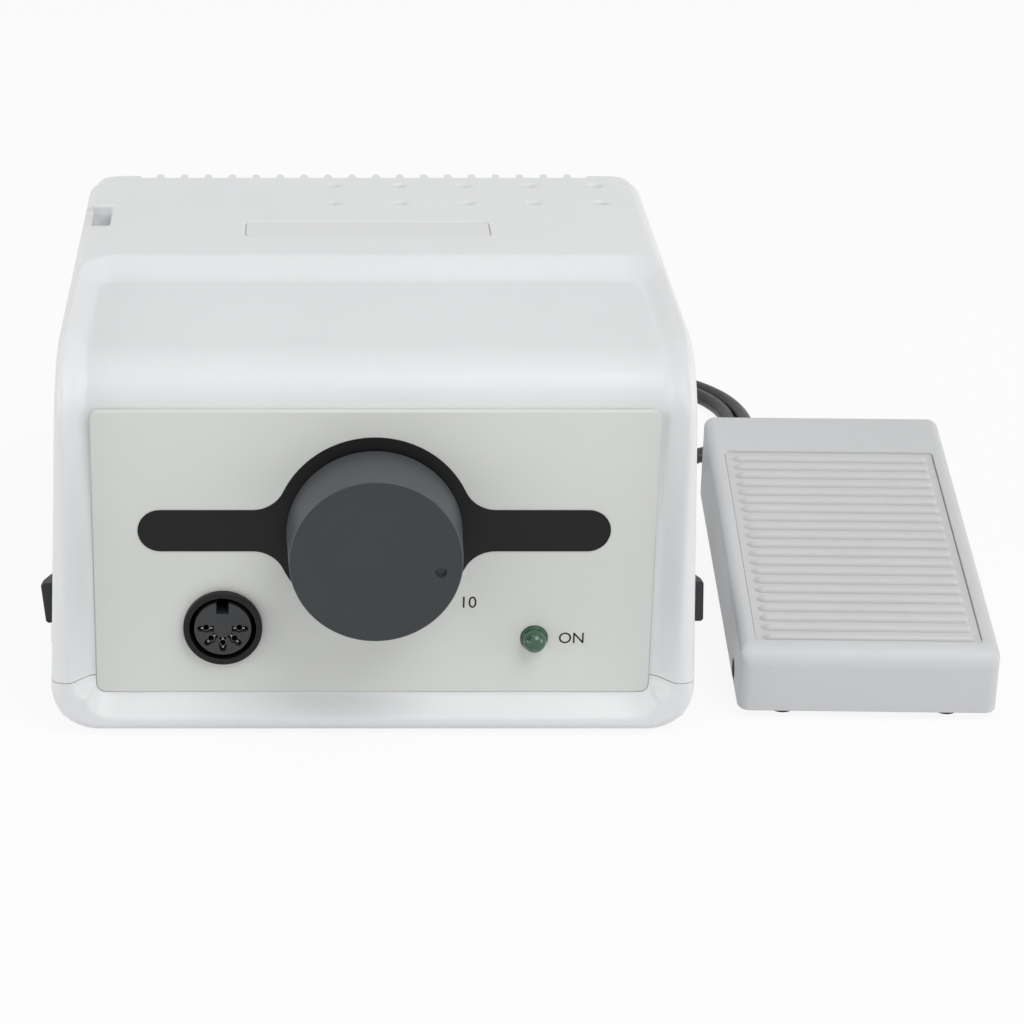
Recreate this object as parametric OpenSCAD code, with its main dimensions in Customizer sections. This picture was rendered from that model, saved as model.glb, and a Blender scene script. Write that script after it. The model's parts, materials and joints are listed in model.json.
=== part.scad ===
// Bench micromotor: a control box with a speed knob, and the foot pedal that belongs to it.
// The box stands in its own frame: x = 0 at its middle, y = 0 at the panel, z = 0 at the table.

/* [Case] */
// Width of the case at its widest line, just above the bottom corners
case_w = 136; // [130:1:146]
// Width of the case at the roof
roof_w = 130; // [124:1:134]
// Depth from the front plane of the inset face to the rear wall
case_d = 119.4; // [112:0.2:130]
// Height of the roof above the table
case_h = 86.4; // [82:0.2:96]
// Wall of the case mouldings
wall = 2.4; // [2:0.1:3]
// Wall behind the inset front face
front_wall = 4; // [3.2:0.1:5]
// Height of the seam between cover and base
seam_z = 11.5; // [11:0.1:14]
// How far the rim stands out before the inset face
rim_depth = 4.4; // [3:0.1:6]
// Sideways run of the rim's bevel for each unit of depth
rim_slope = 0.9; // [0.6:0.05:1.1]
// Half width of the inset face
face_half_w = 59.8; // [58:0.1:61]
// Height of the sunk forehead below the roof
forehead_drop = 4.4; // [3:0.1:6]
// Place of the foot of the sloping riser behind the forehead
riser_y = 53.5; // [45:0.5:60]
// Slope of that riser
riser_angle = 40; // [25:1:45]
// Radius of the brow between forehead and front
brow_r = 12; // [9:0.1:13]
// Radius of the rim over the brow
rim_r = 16.4; // [12:0.1:18]
// Radius of the bottom side edges
corner_r = 8.3; // [7:0.1:8.8]
// Radius of the roof's side edges
roof_r = 4; // [3.2:0.1:6]
// Radius of the rear corners in plan
rear_r = 8; // [7:0.5:16]
// Radius of the small outer edges
edge_r = 3.2; // [3.1:0.1:4]
// Height of the rubber feet of the box
foot_h = 2; // [1.5:0.1:3]
// Radius of those feet
foot_r = 5; // [4:0.1:6]

/* [Front panel] */
// Half width of the panel
panel_half_w = 58.5; // [57:0.1:58.8]
// Height of the panel's lower edge
panel_z0 = 8.4; // [8:0.1:9]
// Height of the panel's upper edge
panel_z1 = 72.2; // [70:0.1:72.3]
// Thickness of the panel
panel_t = 2; // [1.6:0.1:2.4]
// How far the panel stands proud of the front plane
panel_proud = 0.4; // [0.2:0.1:0.6]
// Width of the ledge that carries the panel
panel_ledge = 4; // [3:0.1:6]
// Thickness of the printed film on the panel
film_t = 0.2; // [0.1:0.05:0.3]
// Half length of the black bar on the film
bar_half_l = 49.1; // [45:0.1:52]
// Half height of that bar
bar_half_h = 4.65; // [4:0.1:5.5]
// Radius of the black disc round the knob
disc_r = 20.8; // [19.5:0.1:22]
// Radius of the fillets between disc and bar
disc_fillet = 7; // [4:0.5:9]

/* [Speed knob] */
// Height of the knob's axis
knob_z = 45.7; // [44:0.1:48]
// Radius of the knob at its foot
knob_foot_r = 18.25; // [17:0.05:19]
// Radius of the knob at its face
knob_face_r = 17.7; // [16.5:0.05:18]
// Length of the knob
knob_l = 15.5; // [13:0.1:18]
// Gap behind the knob
knob_gap = 0.7; // [0.5:0.1:1.2]
// Radius of the potentiometer's shaft
shaft_r = 3; // [2.5:0.05:3.2]
// Radius of the potentiometer's threaded bush
bush_r = 3.75; // [3.7:0.05:4.2]
// Radius of the potentiometer's can
pot_r = 8.5; // [8:0.1:10]
// Depth of the potentiometer's can
pot_l = 9; // [8:0.1:12]

/* [Socket and lamp] */
// Place of the handpiece socket across the panel
din_x = -31.6; // [-36:0.1:-29]
// Height of the handpiece socket
din_z = 23.8; // [22:0.1:26]
// Radius of the socket's flange
din_flange_r = 8.3; // [8.1:0.1:9]
// Outer radius of the ring groove for the plug's shield
din_groove_r = 7; // [6.9:0.05:7.2]
// Radius of the socket's insert
din_insert_r = 6; // [5.8:0.05:6.2]
// Radius of the circle of contacts
din_contact_circle = 3.5; // [3.3:0.05:3.7]
// Depth of the groove
din_depth = 9; // [8:0.1:11]
// Place of the power lamp across the panel
led_x = 33.9; // [30:0.1:38]
// Height of the power lamp
led_z = 21; // [19:0.1:24]
// Radius of the lamp's dome
led_r = 2.4; // [2.2:0.05:2.5]

/* [Side switches] */
// Place of the switches behind the front plane
switch_y = 15; // [14:0.5:20]
// Height of the switches
switch_z = 23.5; // [21.6:0.1:24]
// Height of a rocker
rocker_h = 9.4; // [9:0.1:10.5]
// Width of a rocker
rocker_w = 5; // [4.6:0.1:7]
// How far the middle of the left rocker stands out of the case wall
left_out = 2.9; // [2.4:0.05:3.2]
// How far the right rocker stands out of the case wall
right_out = 3.6; // [3:0.05:4.5]
// Tilt of a rocker that is switched over
rocker_tilt = 8; // [6:0.5:9]

/* [Roof] */
// Place of the leftmost column of bur holes
bur_x0 = -7.4; // [-10:0.1:-5]
// Distance between bur holes along a row
bur_pitch = 15.49; // [14:0.01:15.6]
// Distance from the rear wall to the rear row of bur holes
bur_rear = 7.8; // [7.4:0.1:9]
// Distance between the two rows of bur holes
bur_row = 14; // [12:0.1:16]
// Radius of a bur hole, for a 2.35 mm shank
bur_r = 1.25; // [1.2:0.01:1.4]
// Depth of a bur hole
bur_depth = 10; // [8:0.1:12]
// Length of the bare name plate
plate_l = 55; // [50:0.5:58]
// Width of the bare name plate
plate_w = 11.2; // [8:0.1:12]
// Distance from the rear wall to the middle of the name plate
plate_rear = 42.1; // [40:0.1:44]
// Depth of the name plate's recess
plate_sink = 0.6; // [0.4:0.1:0.8]
// Length of the cradle pocket along the left edge
cradle_l = 15.9; // [14:0.1:18]
// Width of the cradle pocket
cradle_w = 4.5; // [4.3:0.1:6]
// Depth of the cradle pocket
cradle_depth = 8; // [7.6:0.1:14]
// Distance from the rear wall to the cradle pocket's middle
cradle_rear = 31.1; // [26:0.1:34]
// Number of ribs at the rear edge
rib_n = 18; // [12:1:20]
// Distance between these ribs
rib_pitch = 5.71; // [5:0.01:5.8]
// Width of a rear rib at its foot
rib_w = 2.1; // [1.8:0.1:3]
// Depth of the recess the ribs stand in
rib_recess = 1.6; // [1.5:0.1:2.2]
// How far the ribs stand behind the rear wall
rib_proud = 1.1; // [0.8:0.1:2.5]
// Height of the foot of the ribs
rib_z0 = 52; // [50:0.5:60]

/* [Pedal] */
// Gap between case and pedal at the front
pedal_gap = 10.5; // [8:0.1:20]
// Distance of the pedal's front behind the panel
pedal_y = 3.6; // [0:0.1:15]
// Turn of the pedal on the table
pedal_yaw = -1.5; // [-4:0.5:4]
// Width of the treadle
treadle_w = 55.2; // [54:0.2:62]
// Length of the treadle
treadle_l = 92; // [88:0.5:100]
// Height of the treadle's front edge
treadle_front = 16; // [14:0.1:17]
// Height of the treadle's rear edge
treadle_rear = 34.6; // [32:0.1:36]
// Height of the skirt's lower edge at the front
skirt_front = 1.6; // [1.4:0.1:3]
// Height of the skirt's lower edge at the rear
skirt_rear = 15; // [14.8:0.1:16]
// Wall of the treadle's skirt
skirt_wall = 2.2; // [1.8:0.1:2.6]
// Thickness of the treadle's plate
plate_t = 3.2; // [3:0.1:4]
// Width of the ribbed pad
pad_w = 48; // [44:0.1:48.6]
// Length of the ribbed pad along the slope
pad_l = 74.8; // [72:0.1:76]
// Depth of the pad's face below the treadle's face
pad_sink = 0.6; // [0.4:0.1:1]
// Thickness of the pad
pad_t = 1.5; // [1.2:0.1:1.6]
// Number of ribs on the pad
pad_ribs = 21; // [15:1:22]
// Distance between those ribs
pad_pitch = 3.46; // [3:0.02:3.6]
// Radius of a pad rib
pad_rib_r = 1.2; // [1:0.05:1.25]
// Distance of the hinge pin behind the treadle's front
hinge_y = 11.8; // [11:0.1:13]
// Height of the hinge pin
hinge_z = 6.2; // [6:0.1:7]
// Radius of the hinge pin
hinge_r = 1.5; // [1.3:0.05:1.8]
// Greatest press of the treadle
press_angle = 4; // [3:0.1:4]
// Height of the pedal's feet
pedal_foot_h = 2; // [1.6:0.1:2.2]

/* [Cord] */
// Diameter of the cord between pedal and box
cord_d = 4; // [3.6:0.1:4.2]
// Distance between turns of the coil
coil_pitch = 4.6; // [4.5:0.1:5]
// Distance between the two layers of the coil
coil_rise = 4.5; // [4.4:0.1:5]
// Turns in each layer of the coil
coil_turns = 3.5; // [3.5:1:4.5]
// Inner radius of the coil, at the middle of its cord
coil_in_r = 16; // [14:0.5:18]

/* [Fits] */
// Radial clearance of a turning pin in its bore
run_clear = 0.05; // [0.02:0.01:0.09]
// Clearance of a piece that is let into another
seat_clear = 0.15; // [0.1:0.05:0.2]

/* [Hidden] */
$fn = 48;

arc_steps = 8;
overlap = 1;
far = 400;
function arc(c, r, a0, a1, n = arc_steps) =
  [for (i = [0:n]) let (a = a0 + (a1 - a0) * i / n) c + r * [cos(a), sin(a)]];
function mirrored(points) = [for (i = [len(points) - 1:-1:0]) [-points[i].x, points[i].y]];
function unit(v) = v / norm(v);

// Case outlines
forehead_z = case_h - forehead_drop;
riser_run = forehead_drop / tan(riser_angle);
flank_z = foot_h + corner_r;
draft = atan((case_w - roof_w) / 2 / (case_h - flank_z));
function flank_x(z) = case_w / 2 - (z - flank_z) * tan(draft);
// End view, seen from the front: round bottom corners, leaning flanks, small roof corners
function end_half(t) = concat(
  arc([flank_x(foot_h + corner_r) - corner_r / cos(draft), foot_h + corner_r], corner_r - t, -90, draft),
  arc([flank_x(case_h - roof_r) - roof_r / cos(draft), case_h - roof_r], roof_r - t, draft, 90));
// Radius of the edge between roof and rear wall
function rear_edge(t) = max(1.2 - t, 0.2);
// Side view, from the rim in front to the rear wall
function side_outline(t) = concat(
  arc([edge_r - rim_depth, foot_h + edge_r], edge_r - t, 180, 270),
  arc([case_d - edge_r, foot_h + edge_r], edge_r - t, 270, 360),
  arc([case_d - t, case_h - t] - rear_edge(t) * [1, 1], rear_edge(t), 0, 90),
  arc([rim_r - rim_depth, case_h - rim_r], rim_r - t, 90, 180));
// Plan of one flank, seen in the flank's own leaning plane
function flank_plan(t) = concat(
  [[-far, t - rim_depth]],
  arc([-edge_r, edge_r - rim_depth], edge_r - t, -90, 0),
  arc([-rear_r, case_d - rear_r], rear_r - t, 0, 90),
  [[-far, case_d - t]]);
// Side view of the sunk face: front plane, brow, forehead, riser and roof
function face_outline(t) = concat(
  [[t, -overlap]],
  arc([brow_r, forehead_z - brow_r], brow_r - min(t, brow_r / 2), 180, 90),
  [[riser_y + t * tan(riser_angle / 2), forehead_z - t],
   [riser_y + riser_run + t * tan(riser_angle / 2), case_h - t], [far, case_h - t], [far, -overlap]]);

// Turns an outline of [y, z] points into a bar across the whole case
module across(w) { rotate([90, 0, 90]) linear_extrude(w, center = true) children(); }
// Stands an outline of [x, z] points up and runs it back from y0 to y1
module along(y0, y1) { translate([0, y1, 0]) rotate([90, 0, 0]) linear_extrude(y1 - y0) children(); }
module at_flank(y, z) { translate([flank_x(z), y, z]) rotate([0, -draft, 0]) children(); }
module both_flanks() { children(); mirror([1, 0, 0]) children(); }
module case_solid(t) {
  intersection() {
    across(far) polygon(side_outline(t));
    along(-far / 2, far / 2) polygon(concat(end_half(t), mirrored(end_half(t))));
    at_flank(0, flank_z) linear_extrude(far, center = true) polygon(flank_plan(t));
    mirror([1, 0, 0]) at_flank(0, flank_z) linear_extrude(far, center = true) polygon(flank_plan(t));
  }
}
// The sunk face with its bevelled sides, as one swept cutter
cut_out = rim_depth + 1.5;
face_path = concat(
  [[[riser_y + riser_run, case_h] + 4 * [cos(riser_angle), sin(riser_angle)],
    [-sin(riser_angle), cos(riser_angle)]],
   [[riser_y, forehead_z], [-tan(riser_angle / 2), 1]]],
  [for (i = [0:arc_steps]) let (a = 90 + 90 * i / arc_steps)
    [[brow_r, forehead_z - brow_r] + brow_r * [cos(a), sin(a)], [cos(a), sin(a)]]],
  [[[0, panel_z0 - seat_clear - rim_slope], [-1, -rim_slope]]]);
face_rings = [for (p = face_path) let (o = p[0] + cut_out * p[1], w = face_half_w + rim_slope * cut_out)
  [[-face_half_w, p[0].x, p[0].y], [face_half_w, p[0].x, p[0].y], [w, o.x, o.y], [-w, o.x, o.y]]];
// Closes a row of rings, each with the same number of points, into one skin of triangles
module skin(rings) {
  n = len(rings[0]);
  last = (len(rings) - 1) * n;
  polyhedron(
    points = [for (r = rings) each r],
    faces = concat(
      [for (k = [1:n - 2]) [0, k, k + 1]],
      [for (k = [1:n - 2]) [last, last + k + 1, last + k]],
      [for (i = [0:len(rings) - 2], k = [0:n - 1]) let (a = i * n + k, b = i * n + (k + 1) % n)
        each [[a, a + n, b], [b, a + n, b + n]]]));
}
module case_room() {
  intersection() {
    case_solid(wall);
    across(far) polygon(face_outline(wall));
    translate([-far / 2, front_wall, -far / 2]) cube(far);
  }
}
module panel_plate(inset, y0, y1, r) {
  x = panel_half_w - inset - r;
  z0 = panel_z0 + inset + r;
  z1 = panel_z1 - inset - r;
  along(y0, y1) polygon(concat(arc([x, z0], r, -90, 0), arc([x, z1], r, 0, 90),
    arc([-x, z1], r, 90, 180), arc([-x, z0], r, 180, 270)));
}
panel_corner = 2;
panel_back = panel_t - panel_proud;
panel_face = -panel_proud;
film_face = panel_face - film_t;
module case_shell() {
  difference() {
    case_solid(0);
    skin(face_rings);
    case_room();
    panel_plate(-seat_clear, -overlap, panel_back, panel_corner);
    panel_plate(panel_ledge, -overlap, front_wall + overlap, panel_corner);
  }
}
module above_seam() { translate([-far / 2, -far / 2, seam_z]) cube(far); }
module below_seam() { translate([-far / 2, -far / 2, seam_z - far]) cube(far); }

// Screw posts run from the roof down to the base
post_r = 3.6;
post_x = case_w / 2 - 14;
post_y = [36, case_d - 18];
screw_r = 1.5;
screw_l = 12;
screw_head_r = 2.9;
screw_head_h = 2;
screw_floor = foot_h + screw_head_h + 0.4;
module at_posts() { for (x = [-post_x, post_x], y = post_y) translate([x, y, 0]) children(); }

// Roof details
bur_block_x = [bur_x0 - bur_r - wall, bur_x0 + 4 * bur_pitch + bur_r + wall];
bur_block_y = [case_d - bur_rear - bur_row - bur_r - wall, case_d - wall - rib_recess + 0.5];
module at_burs() {
  for (i = [0:4], j = [0, 1]) translate([bur_x0 + bur_pitch * i, case_d - bur_rear - bur_row * j, case_h]) children();
}
cradle_x = -roof_w / 2 + 1.9;
cradle_y = case_d - cradle_rear;
cradle_lip = 2.2;
rib_tip = rib_w - 0.7;
plate_y = case_d - plate_rear;
plate_round = 2;
rib_recess_half = (rib_n - 1) * rib_pitch / 2 + 4.7;

// Rear wall fittings
inlet_x = 32 - case_w / 2;
inlet_z = 27;
inlet_w = 27.4;
inlet_h = 19.8;
inlet_flange = [31, 24, 1.5];
inlet_room = [24.4, 16.4, 14];
inlet_depth = 17;
fuse_x = -4;
fuse_z = 27;
fuse_r = 6;
fuse_cap_r = 7.4;
fuse_cap_l = 4;
fuse_l = 22;
jack_x = case_w / 2 - 24;
jack_z = 18;
jack_bush_r = 4;
jack_bush_l = 5.5;
jack_nut_t = 2;
jack_bore_r = 1.8;
jack_body = [12, 14, 11];
module rear_holes() {
  translate([inlet_x - inlet_w / 2 - seat_clear, case_d - wall - overlap, inlet_z - inlet_h / 2 - seat_clear])
    cube([inlet_w + 2 * seat_clear, wall + 2 * overlap, inlet_h + 2 * seat_clear]);
  for (h = [[fuse_x, fuse_z, fuse_r], [jack_x, jack_z, jack_bush_r]])
    translate([h.x, case_d + overlap, h.y]) rotate([90, 0, 0]) cylinder(r = h.z + seat_clear, h = wall + 2 * overlap);
}

// Side switches: u points out of the flank, v up along it
bezel_t = 0.8;
bezel = [11, 16.5];
switch_box = [9.4, 14];
switch_depth = 13;
switch_room = [rocker_w + 0.4, rocker_h + 1.6];
room_depth = 7;
pivot_u = -1;
rocker_slope = 24;
trunnion_r = 1;
trunnion_l = 0.6;
module at_switch() { at_flank(switch_y, switch_z) children(); }
module switch_hole() {
  at_switch() cube([4 * wall, switch_box.x + 2 * seat_clear, switch_box.y + 2 * seat_clear], center = true);
}

module top_cover() {
  color("white") difference() {
    union() {
      difference() {
        intersection() { case_shell(); above_seam(); }
        translate([-rib_recess_half, case_d - rib_recess, rib_z0]) cube([2 * rib_recess_half, far, far]);
      }
      translate([-rib_recess_half, case_d - wall - rib_recess, rib_z0 - wall])
        cube([2 * rib_recess_half, wall, case_h - rib_z0 + 0.5]);
      for (i = [0:rib_n - 1]) translate([(i - (rib_n - 1) / 2) * rib_pitch, case_d - rib_recess, rib_z0])
        linear_extrude(case_h - rib_z0) polygon([[-rib_w / 2, -0.5], [rib_w / 2, -0.5], [rib_w / 2, 0],
          [rib_tip / 2, rib_recess + rib_proud], [-rib_tip / 2, rib_recess + rib_proud], [-rib_w / 2, 0]]);
      for (x = [-post_x, post_x], k = [0, 1]) translate([x, post_y[k], seam_z])
        cylinder(r = post_r, h = [forehead_z, case_h][k] - wall - seam_z + 0.5);
      translate([bur_block_x[0], bur_block_y[0], case_h - bur_depth - wall])
        cube([bur_block_x[1] - bur_block_x[0], bur_block_y[1] - bur_block_y[0], bur_depth + 0.5]);
      intersection() {
        translate([cradle_x - 2, cradle_y - cradle_l / 2 - wall, case_h - cradle_depth - wall])
          cube([cradle_w + wall + 2, cradle_l + 2 * wall, cradle_depth + 0.5]);
        case_solid(0.5);
      }
    }
    at_posts() translate([0, 0, seam_z - overlap]) cylinder(r = screw_r - 0.2, h = screw_l + overlap);
    at_burs() translate([0, 0, -bur_depth]) cylinder(r = bur_r, h = bur_depth + overlap);
    translate([-plate_l / 2, plate_y - plate_w / 2, case_h - plate_sink]) linear_extrude(far)
      polygon(round_box(plate_l, plate_w, plate_round, -seat_clear));
    translate([cradle_x, cradle_y - cradle_l / 2, case_h - cradle_depth]) cube([cradle_w, cradle_l, far]);
    translate([cradle_x - far, cradle_y - cradle_l / 2, case_h - cradle_lip]) cube([far + 0.1, cradle_l, far]);
    rear_holes();
    both_flanks() switch_hole();
  }
}

// Base: floor, board pillars and foot of the screw posts
board = [44, 62, 1.6];
board_x = 6;
board_y = case_d - 18 - board.y;
board_z = 12;
pillar_r = 3;
pillar_in = 5;
floor_z = foot_h + wall;
module at_pillars() {
  for (x = [pillar_in, board.x - pillar_in], y = [pillar_in, board.y - pillar_in])
    translate([board_x + x, board_y + y, 0]) children();
}
module base_housing() {
  color("whitesmoke") difference() {
    union() {
      intersection() { case_shell(); below_seam(); }
      at_posts() translate([0, 0, floor_z - 0.5]) cylinder(r = post_r + 0.8, h = seam_z - floor_z + 0.5);
      at_pillars() translate([0, 0, floor_z - 0.5]) cylinder(r = pillar_r, h = board_z - floor_z + 0.5);
    }
    at_posts() translate([0, 0, foot_h - overlap]) {
      cylinder(r = screw_r + 0.15, h = far);
      cylinder(r = screw_head_r + 0.3, h = screw_floor - foot_h + overlap);
    }
  }
}
foot_in = [case_w / 2 - 25, 12];
module box_feet() {
  color("dimgray") for (x = [-foot_in.x, foot_in.x], y = [foot_in.y - rim_depth, case_d - foot_in.y])
    translate([x, y, 0]) cylinder(r = foot_r, h = foot_h);
}
module case_screws() {
  color("silver") at_posts() {
    translate([0, 0, screw_floor - screw_head_h]) cylinder(r = screw_head_r, h = screw_head_h);
    translate([0, 0, screw_floor - 0.5]) cylinder(r = screw_r - 0.25, h = screw_l);
  }
}

// Panel and what it carries
pot_hole_r = bush_r + seat_clear;
din_barrel_r = din_flange_r - 0.6;
lamp_collar_r = led_r + 1.6;
lamp_collar_t = 1.2;
lamp_sink = 0.9;
lamp_barrel_r = led_r + 0.25;
module at_knob(y) { translate([0, y, knob_z]) rotate([90, 0, 0]) children(); }
module at_din(y) { translate([din_x, y, din_z]) rotate([90, 0, 0]) children(); }
module at_lamp(y) { translate([led_x, y, led_z]) rotate([90, 0, 0]) children(); }
module front_panel() {
  color("gainsboro") difference() {
    panel_plate(0, panel_face, panel_back, panel_corner - seat_clear);
    at_knob(panel_back + overlap) cylinder(r = pot_hole_r, h = panel_t + 2 * overlap);
    at_din(panel_back + overlap) cylinder(r = din_barrel_r + seat_clear, h = panel_t + 2 * overlap);
    at_lamp(panel_back + overlap) cylinder(r = lamp_barrel_r + seat_clear, h = panel_t + 2 * overlap);
  }
}
// Outline of the film's upper half, from the bar's right end over the disc to its left end
fillet_x = sqrt(pow(disc_r + disc_fillet, 2) - pow(bar_half_h + disc_fillet, 2));
fillet_a = atan2(bar_half_h + disc_fillet, fillet_x);
bar_end = bar_half_l - bar_half_h;
film_half = concat(
  arc([bar_end, 0], bar_half_h, 0, 90),
  arc([fillet_x, bar_half_h + disc_fillet], disc_fillet, 270, 180 + fillet_a),
  [for (i = [1:39]) disc_r * [cos(fillet_a + (180 - 2 * fillet_a) * i / 40), sin(fillet_a + (180 - 2 * fillet_a) * i / 40)]],
  arc([-fillet_x, bar_half_h + disc_fillet], disc_fillet, 360 - fillet_a, 270),
  [for (i = [0:arc_steps - 1]) [-bar_end - bar_half_h * sin(90 * i / arc_steps), bar_half_h * cos(90 * i / arc_steps)]]);
nut_across = 10;
nut_t = 2;
film_hole_r = nut_across / 2 / cos(30) + 0.6;
module panel_film() {
  color("#151517") translate([0, panel_face, knob_z]) rotate([90, 0, 0]) linear_extrude(film_t) difference() {
    polygon(concat(film_half, [for (p = film_half) -p]));
    circle(film_hole_r);
  }
}
module name_plate() {
  color("lightgray") translate([-plate_l / 2, plate_y - plate_w / 2, case_h - plate_sink])
    linear_extrude(plate_sink - 0.1) polygon(round_box(plate_l, plate_w, plate_round, 0));
}

// Knob, shaft and potentiometer, seen along the axis from the panel out to the user
knob_back = film_face - knob_gap;
knob_face = knob_back - knob_l;
knob_room_r = 9;
knob_room_l = 6.5;
knob_round = 0.4;
shaft_tip = knob_back - knob_l + 3;
dot_r = 1.1;
dot_circle = 13.4;
dot_angle = -9.5;
screw_hole_r = 1.5;
grub_y = knob_back - knob_room_l - 3;
bush_l = 7;
module speed_knob() {
  color("#4a4b4f") difference() {
    at_knob(knob_back) rotate_extrude($fn = 96) difference() {
      polygon(concat([[0, 0], [knob_foot_r - 0.4, 0], [knob_foot_r, 0.4]],
        arc([knob_face_r - knob_round, knob_l - knob_round], knob_round, 0, 90), [[0, knob_l]]));
      square([knob_room_r, knob_room_l]);
    }
    at_knob(knob_back) cylinder(r = shaft_r, h = knob_back - shaft_tip);
    at_knob(knob_face) rotate([0, 0, dot_angle]) translate([dot_circle, 0, -0.6]) cylinder(r = dot_r, h = 0.6 + overlap);
    translate([0, grub_y, knob_z]) rotate([180, 0, 0]) cylinder(r = screw_hole_r, h = knob_foot_r + overlap);
  }
}
grub_l = 6;
module knob_set_screw() {
  color("gray") translate([0, grub_y, knob_z - shaft_r - grub_l]) cylinder(r = screw_hole_r - 0.05, h = grub_l);
}
shaft_tail = 6;
module pot_shaft() { color("silver") at_knob(panel_back + shaft_tail) cylinder(r = shaft_r, h = panel_back + shaft_tail - shaft_tip); }
module pot_body() {
  color("darkgray") difference() {
    union() {
      at_knob(panel_back + pot_l) cylinder(r = pot_r, h = pot_l);
      at_knob(panel_back + overlap) cylinder(r = bush_r, h = bush_l + overlap);
      translate([-pot_r + 2, panel_back + 4, knob_z - pot_r - 5]) cube([2 * pot_r - 4, 1.5, 7]);
    }
    at_knob(panel_back + shaft_tail + 0.3) cylinder(r = shaft_r + run_clear, h = far);
  }
}
module pot_nut() {
  color("silver") difference() {
    at_knob(panel_face) cylinder(r = nut_across / 2 / cos(30), h = nut_t, $fn = 6);
    at_knob(panel_face + overlap) cylinder(r = bush_r + 0.02, h = nut_t + 2 * overlap);
  }
}

// Handpiece socket: a shell with a ring groove round an insert with five contacts
din_front = 1.6;
din_floor = din_depth - din_front - panel_proud;
din_tail = 14;
din_key = 2.6;
contact_r = 0.85;
contact_slot = [2.4, 0.9];
module at_contacts() { for (a = [180:45:360]) rotate([0, 0, a]) translate([din_contact_circle, 0, 0]) children(); }
module din_shell() {
  color("#1b1b1d") difference() {
    union() {
      at_din(panel_face) cylinder(r = din_flange_r, h = din_front);
      at_din(din_tail) cylinder(r = din_barrel_r, h = din_tail - panel_face + 0.5);
    }
    at_din(din_floor) cylinder(r = din_groove_r, h = far);
    at_din(din_tail - 2) cylinder(r = din_insert_r, h = far);
  }
}
module din_insert() {
  color("#1b1b1d") difference() {
    at_din(din_tail - 2) cylinder(r = din_insert_r, h = din_tail - 2 - panel_face + din_front - 0.3);
    at_din(din_floor) {
      translate([-din_key / 2, din_insert_r - din_key, 0]) cube([din_key, far, far]);
      at_contacts() { cylinder(r = contact_r + 0.1, h = far); translate([0.6, 0, far / 2]) cube([contact_slot.x, contact_slot.y, far], center = true); }
    }
  }
}
module din_contacts() {
  color("gold") at_din(din_floor) at_contacts() difference() {
    cylinder(r = contact_r, h = din_depth - 1);
    translate([0, 0, 1]) cylinder(r = contact_r - 0.25, h = far);
  }
}
module din_nut() {
  color("silver") difference() {
    at_din(panel_back + 2.2) cylinder(r = din_barrel_r + 2, h = 2.2);
    at_din(panel_back + 2.2 + overlap) cylinder(r = din_barrel_r + 0.02, h = far);
  }
}
lamp_out = 4;
lamp_l = 8;
lamp_ball_y = panel_face - lamp_out + led_r;
module lamp_lens() {
  color("green") union() {
    at_lamp(lamp_l) cylinder(r = led_r, h = lamp_l - lamp_ball_y);
    translate([led_x, lamp_ball_y, led_z]) rotate([90, 0, 0]) sphere(r = led_r);
  }
}
module lamp_holder() {
  color("#232326") difference() {
    union() {
      at_lamp(panel_back + lamp_collar_t) cylinder(r = lamp_collar_r, h = lamp_collar_t);
      at_lamp(lamp_l - 1) cylinder(r = lamp_barrel_r, h = lamp_l - 1 - panel_face - lamp_sink);
    }
    at_lamp(lamp_l) cylinder(r = led_r + 0.02, h = far);
  }
}

// Switches
module switch_frame() {
  at_switch() difference() {
    union() {
      translate([0, -bezel.x / 2, -bezel.y / 2]) cube([bezel_t, bezel.x, bezel.y]);
      translate([-switch_depth, -switch_box.x / 2, -switch_box.y / 2]) cube([switch_depth + 0.2, switch_box.x, switch_box.y]);
    }
    translate([-room_depth, -switch_room.x / 2, -switch_room.y / 2]) cube([far, switch_room.x, switch_room.y]);
    translate([pivot_u, 0, 0]) rotate([90, 0, 0]) cylinder(r = trunnion_r + run_clear, h = switch_box.x + overlap, center = true);
  }
}
module rocker(tilt, out) {
  reach = out - pivot_u;
  at_switch() translate([pivot_u, 0, 0]) rotate([0, -tilt, 0]) {
    difference() {
      rotate([90, 0, 0]) linear_extrude(rocker_w, center = true)
        polygon([[-3.6, -4.3], [reach - 0.5, -rocker_h / 2], [reach, 0.5 - rocker_h / 2],
          [reach, rocker_h / 2 - 0.5], [reach - 0.5, rocker_h / 2], [-3.6, 4.3]]);
      translate([reach, 0.8 - rocker_w / 2, -far / 2]) rotate([0, 0, rocker_slope]) cube(far);
    }
    rotate([90, 0, 0]) cylinder(r = trunnion_r, h = rocker_w + 2 * trunnion_l, center = true);
  }
}
module left_switch_frame() { color("#19191b") mirror([1, 0, 0]) switch_frame(); }
module right_switch_frame() { color("#19191b") switch_frame(); }
module left_rocker() { color("#1d1d1f") mirror([1, 0, 0]) rocker(-rocker_tilt, left_out); }
module right_rocker() { color("#1d1d1f") rocker(0, right_out); }
module switch_terminals() {
  color("silver") both_flanks() at_switch() for (v = [-4.5, 0, 4.5])
    translate([-switch_depth - 6, -2.2, v - 0.4]) cube([6, 4.4, 0.8]);
}

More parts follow.
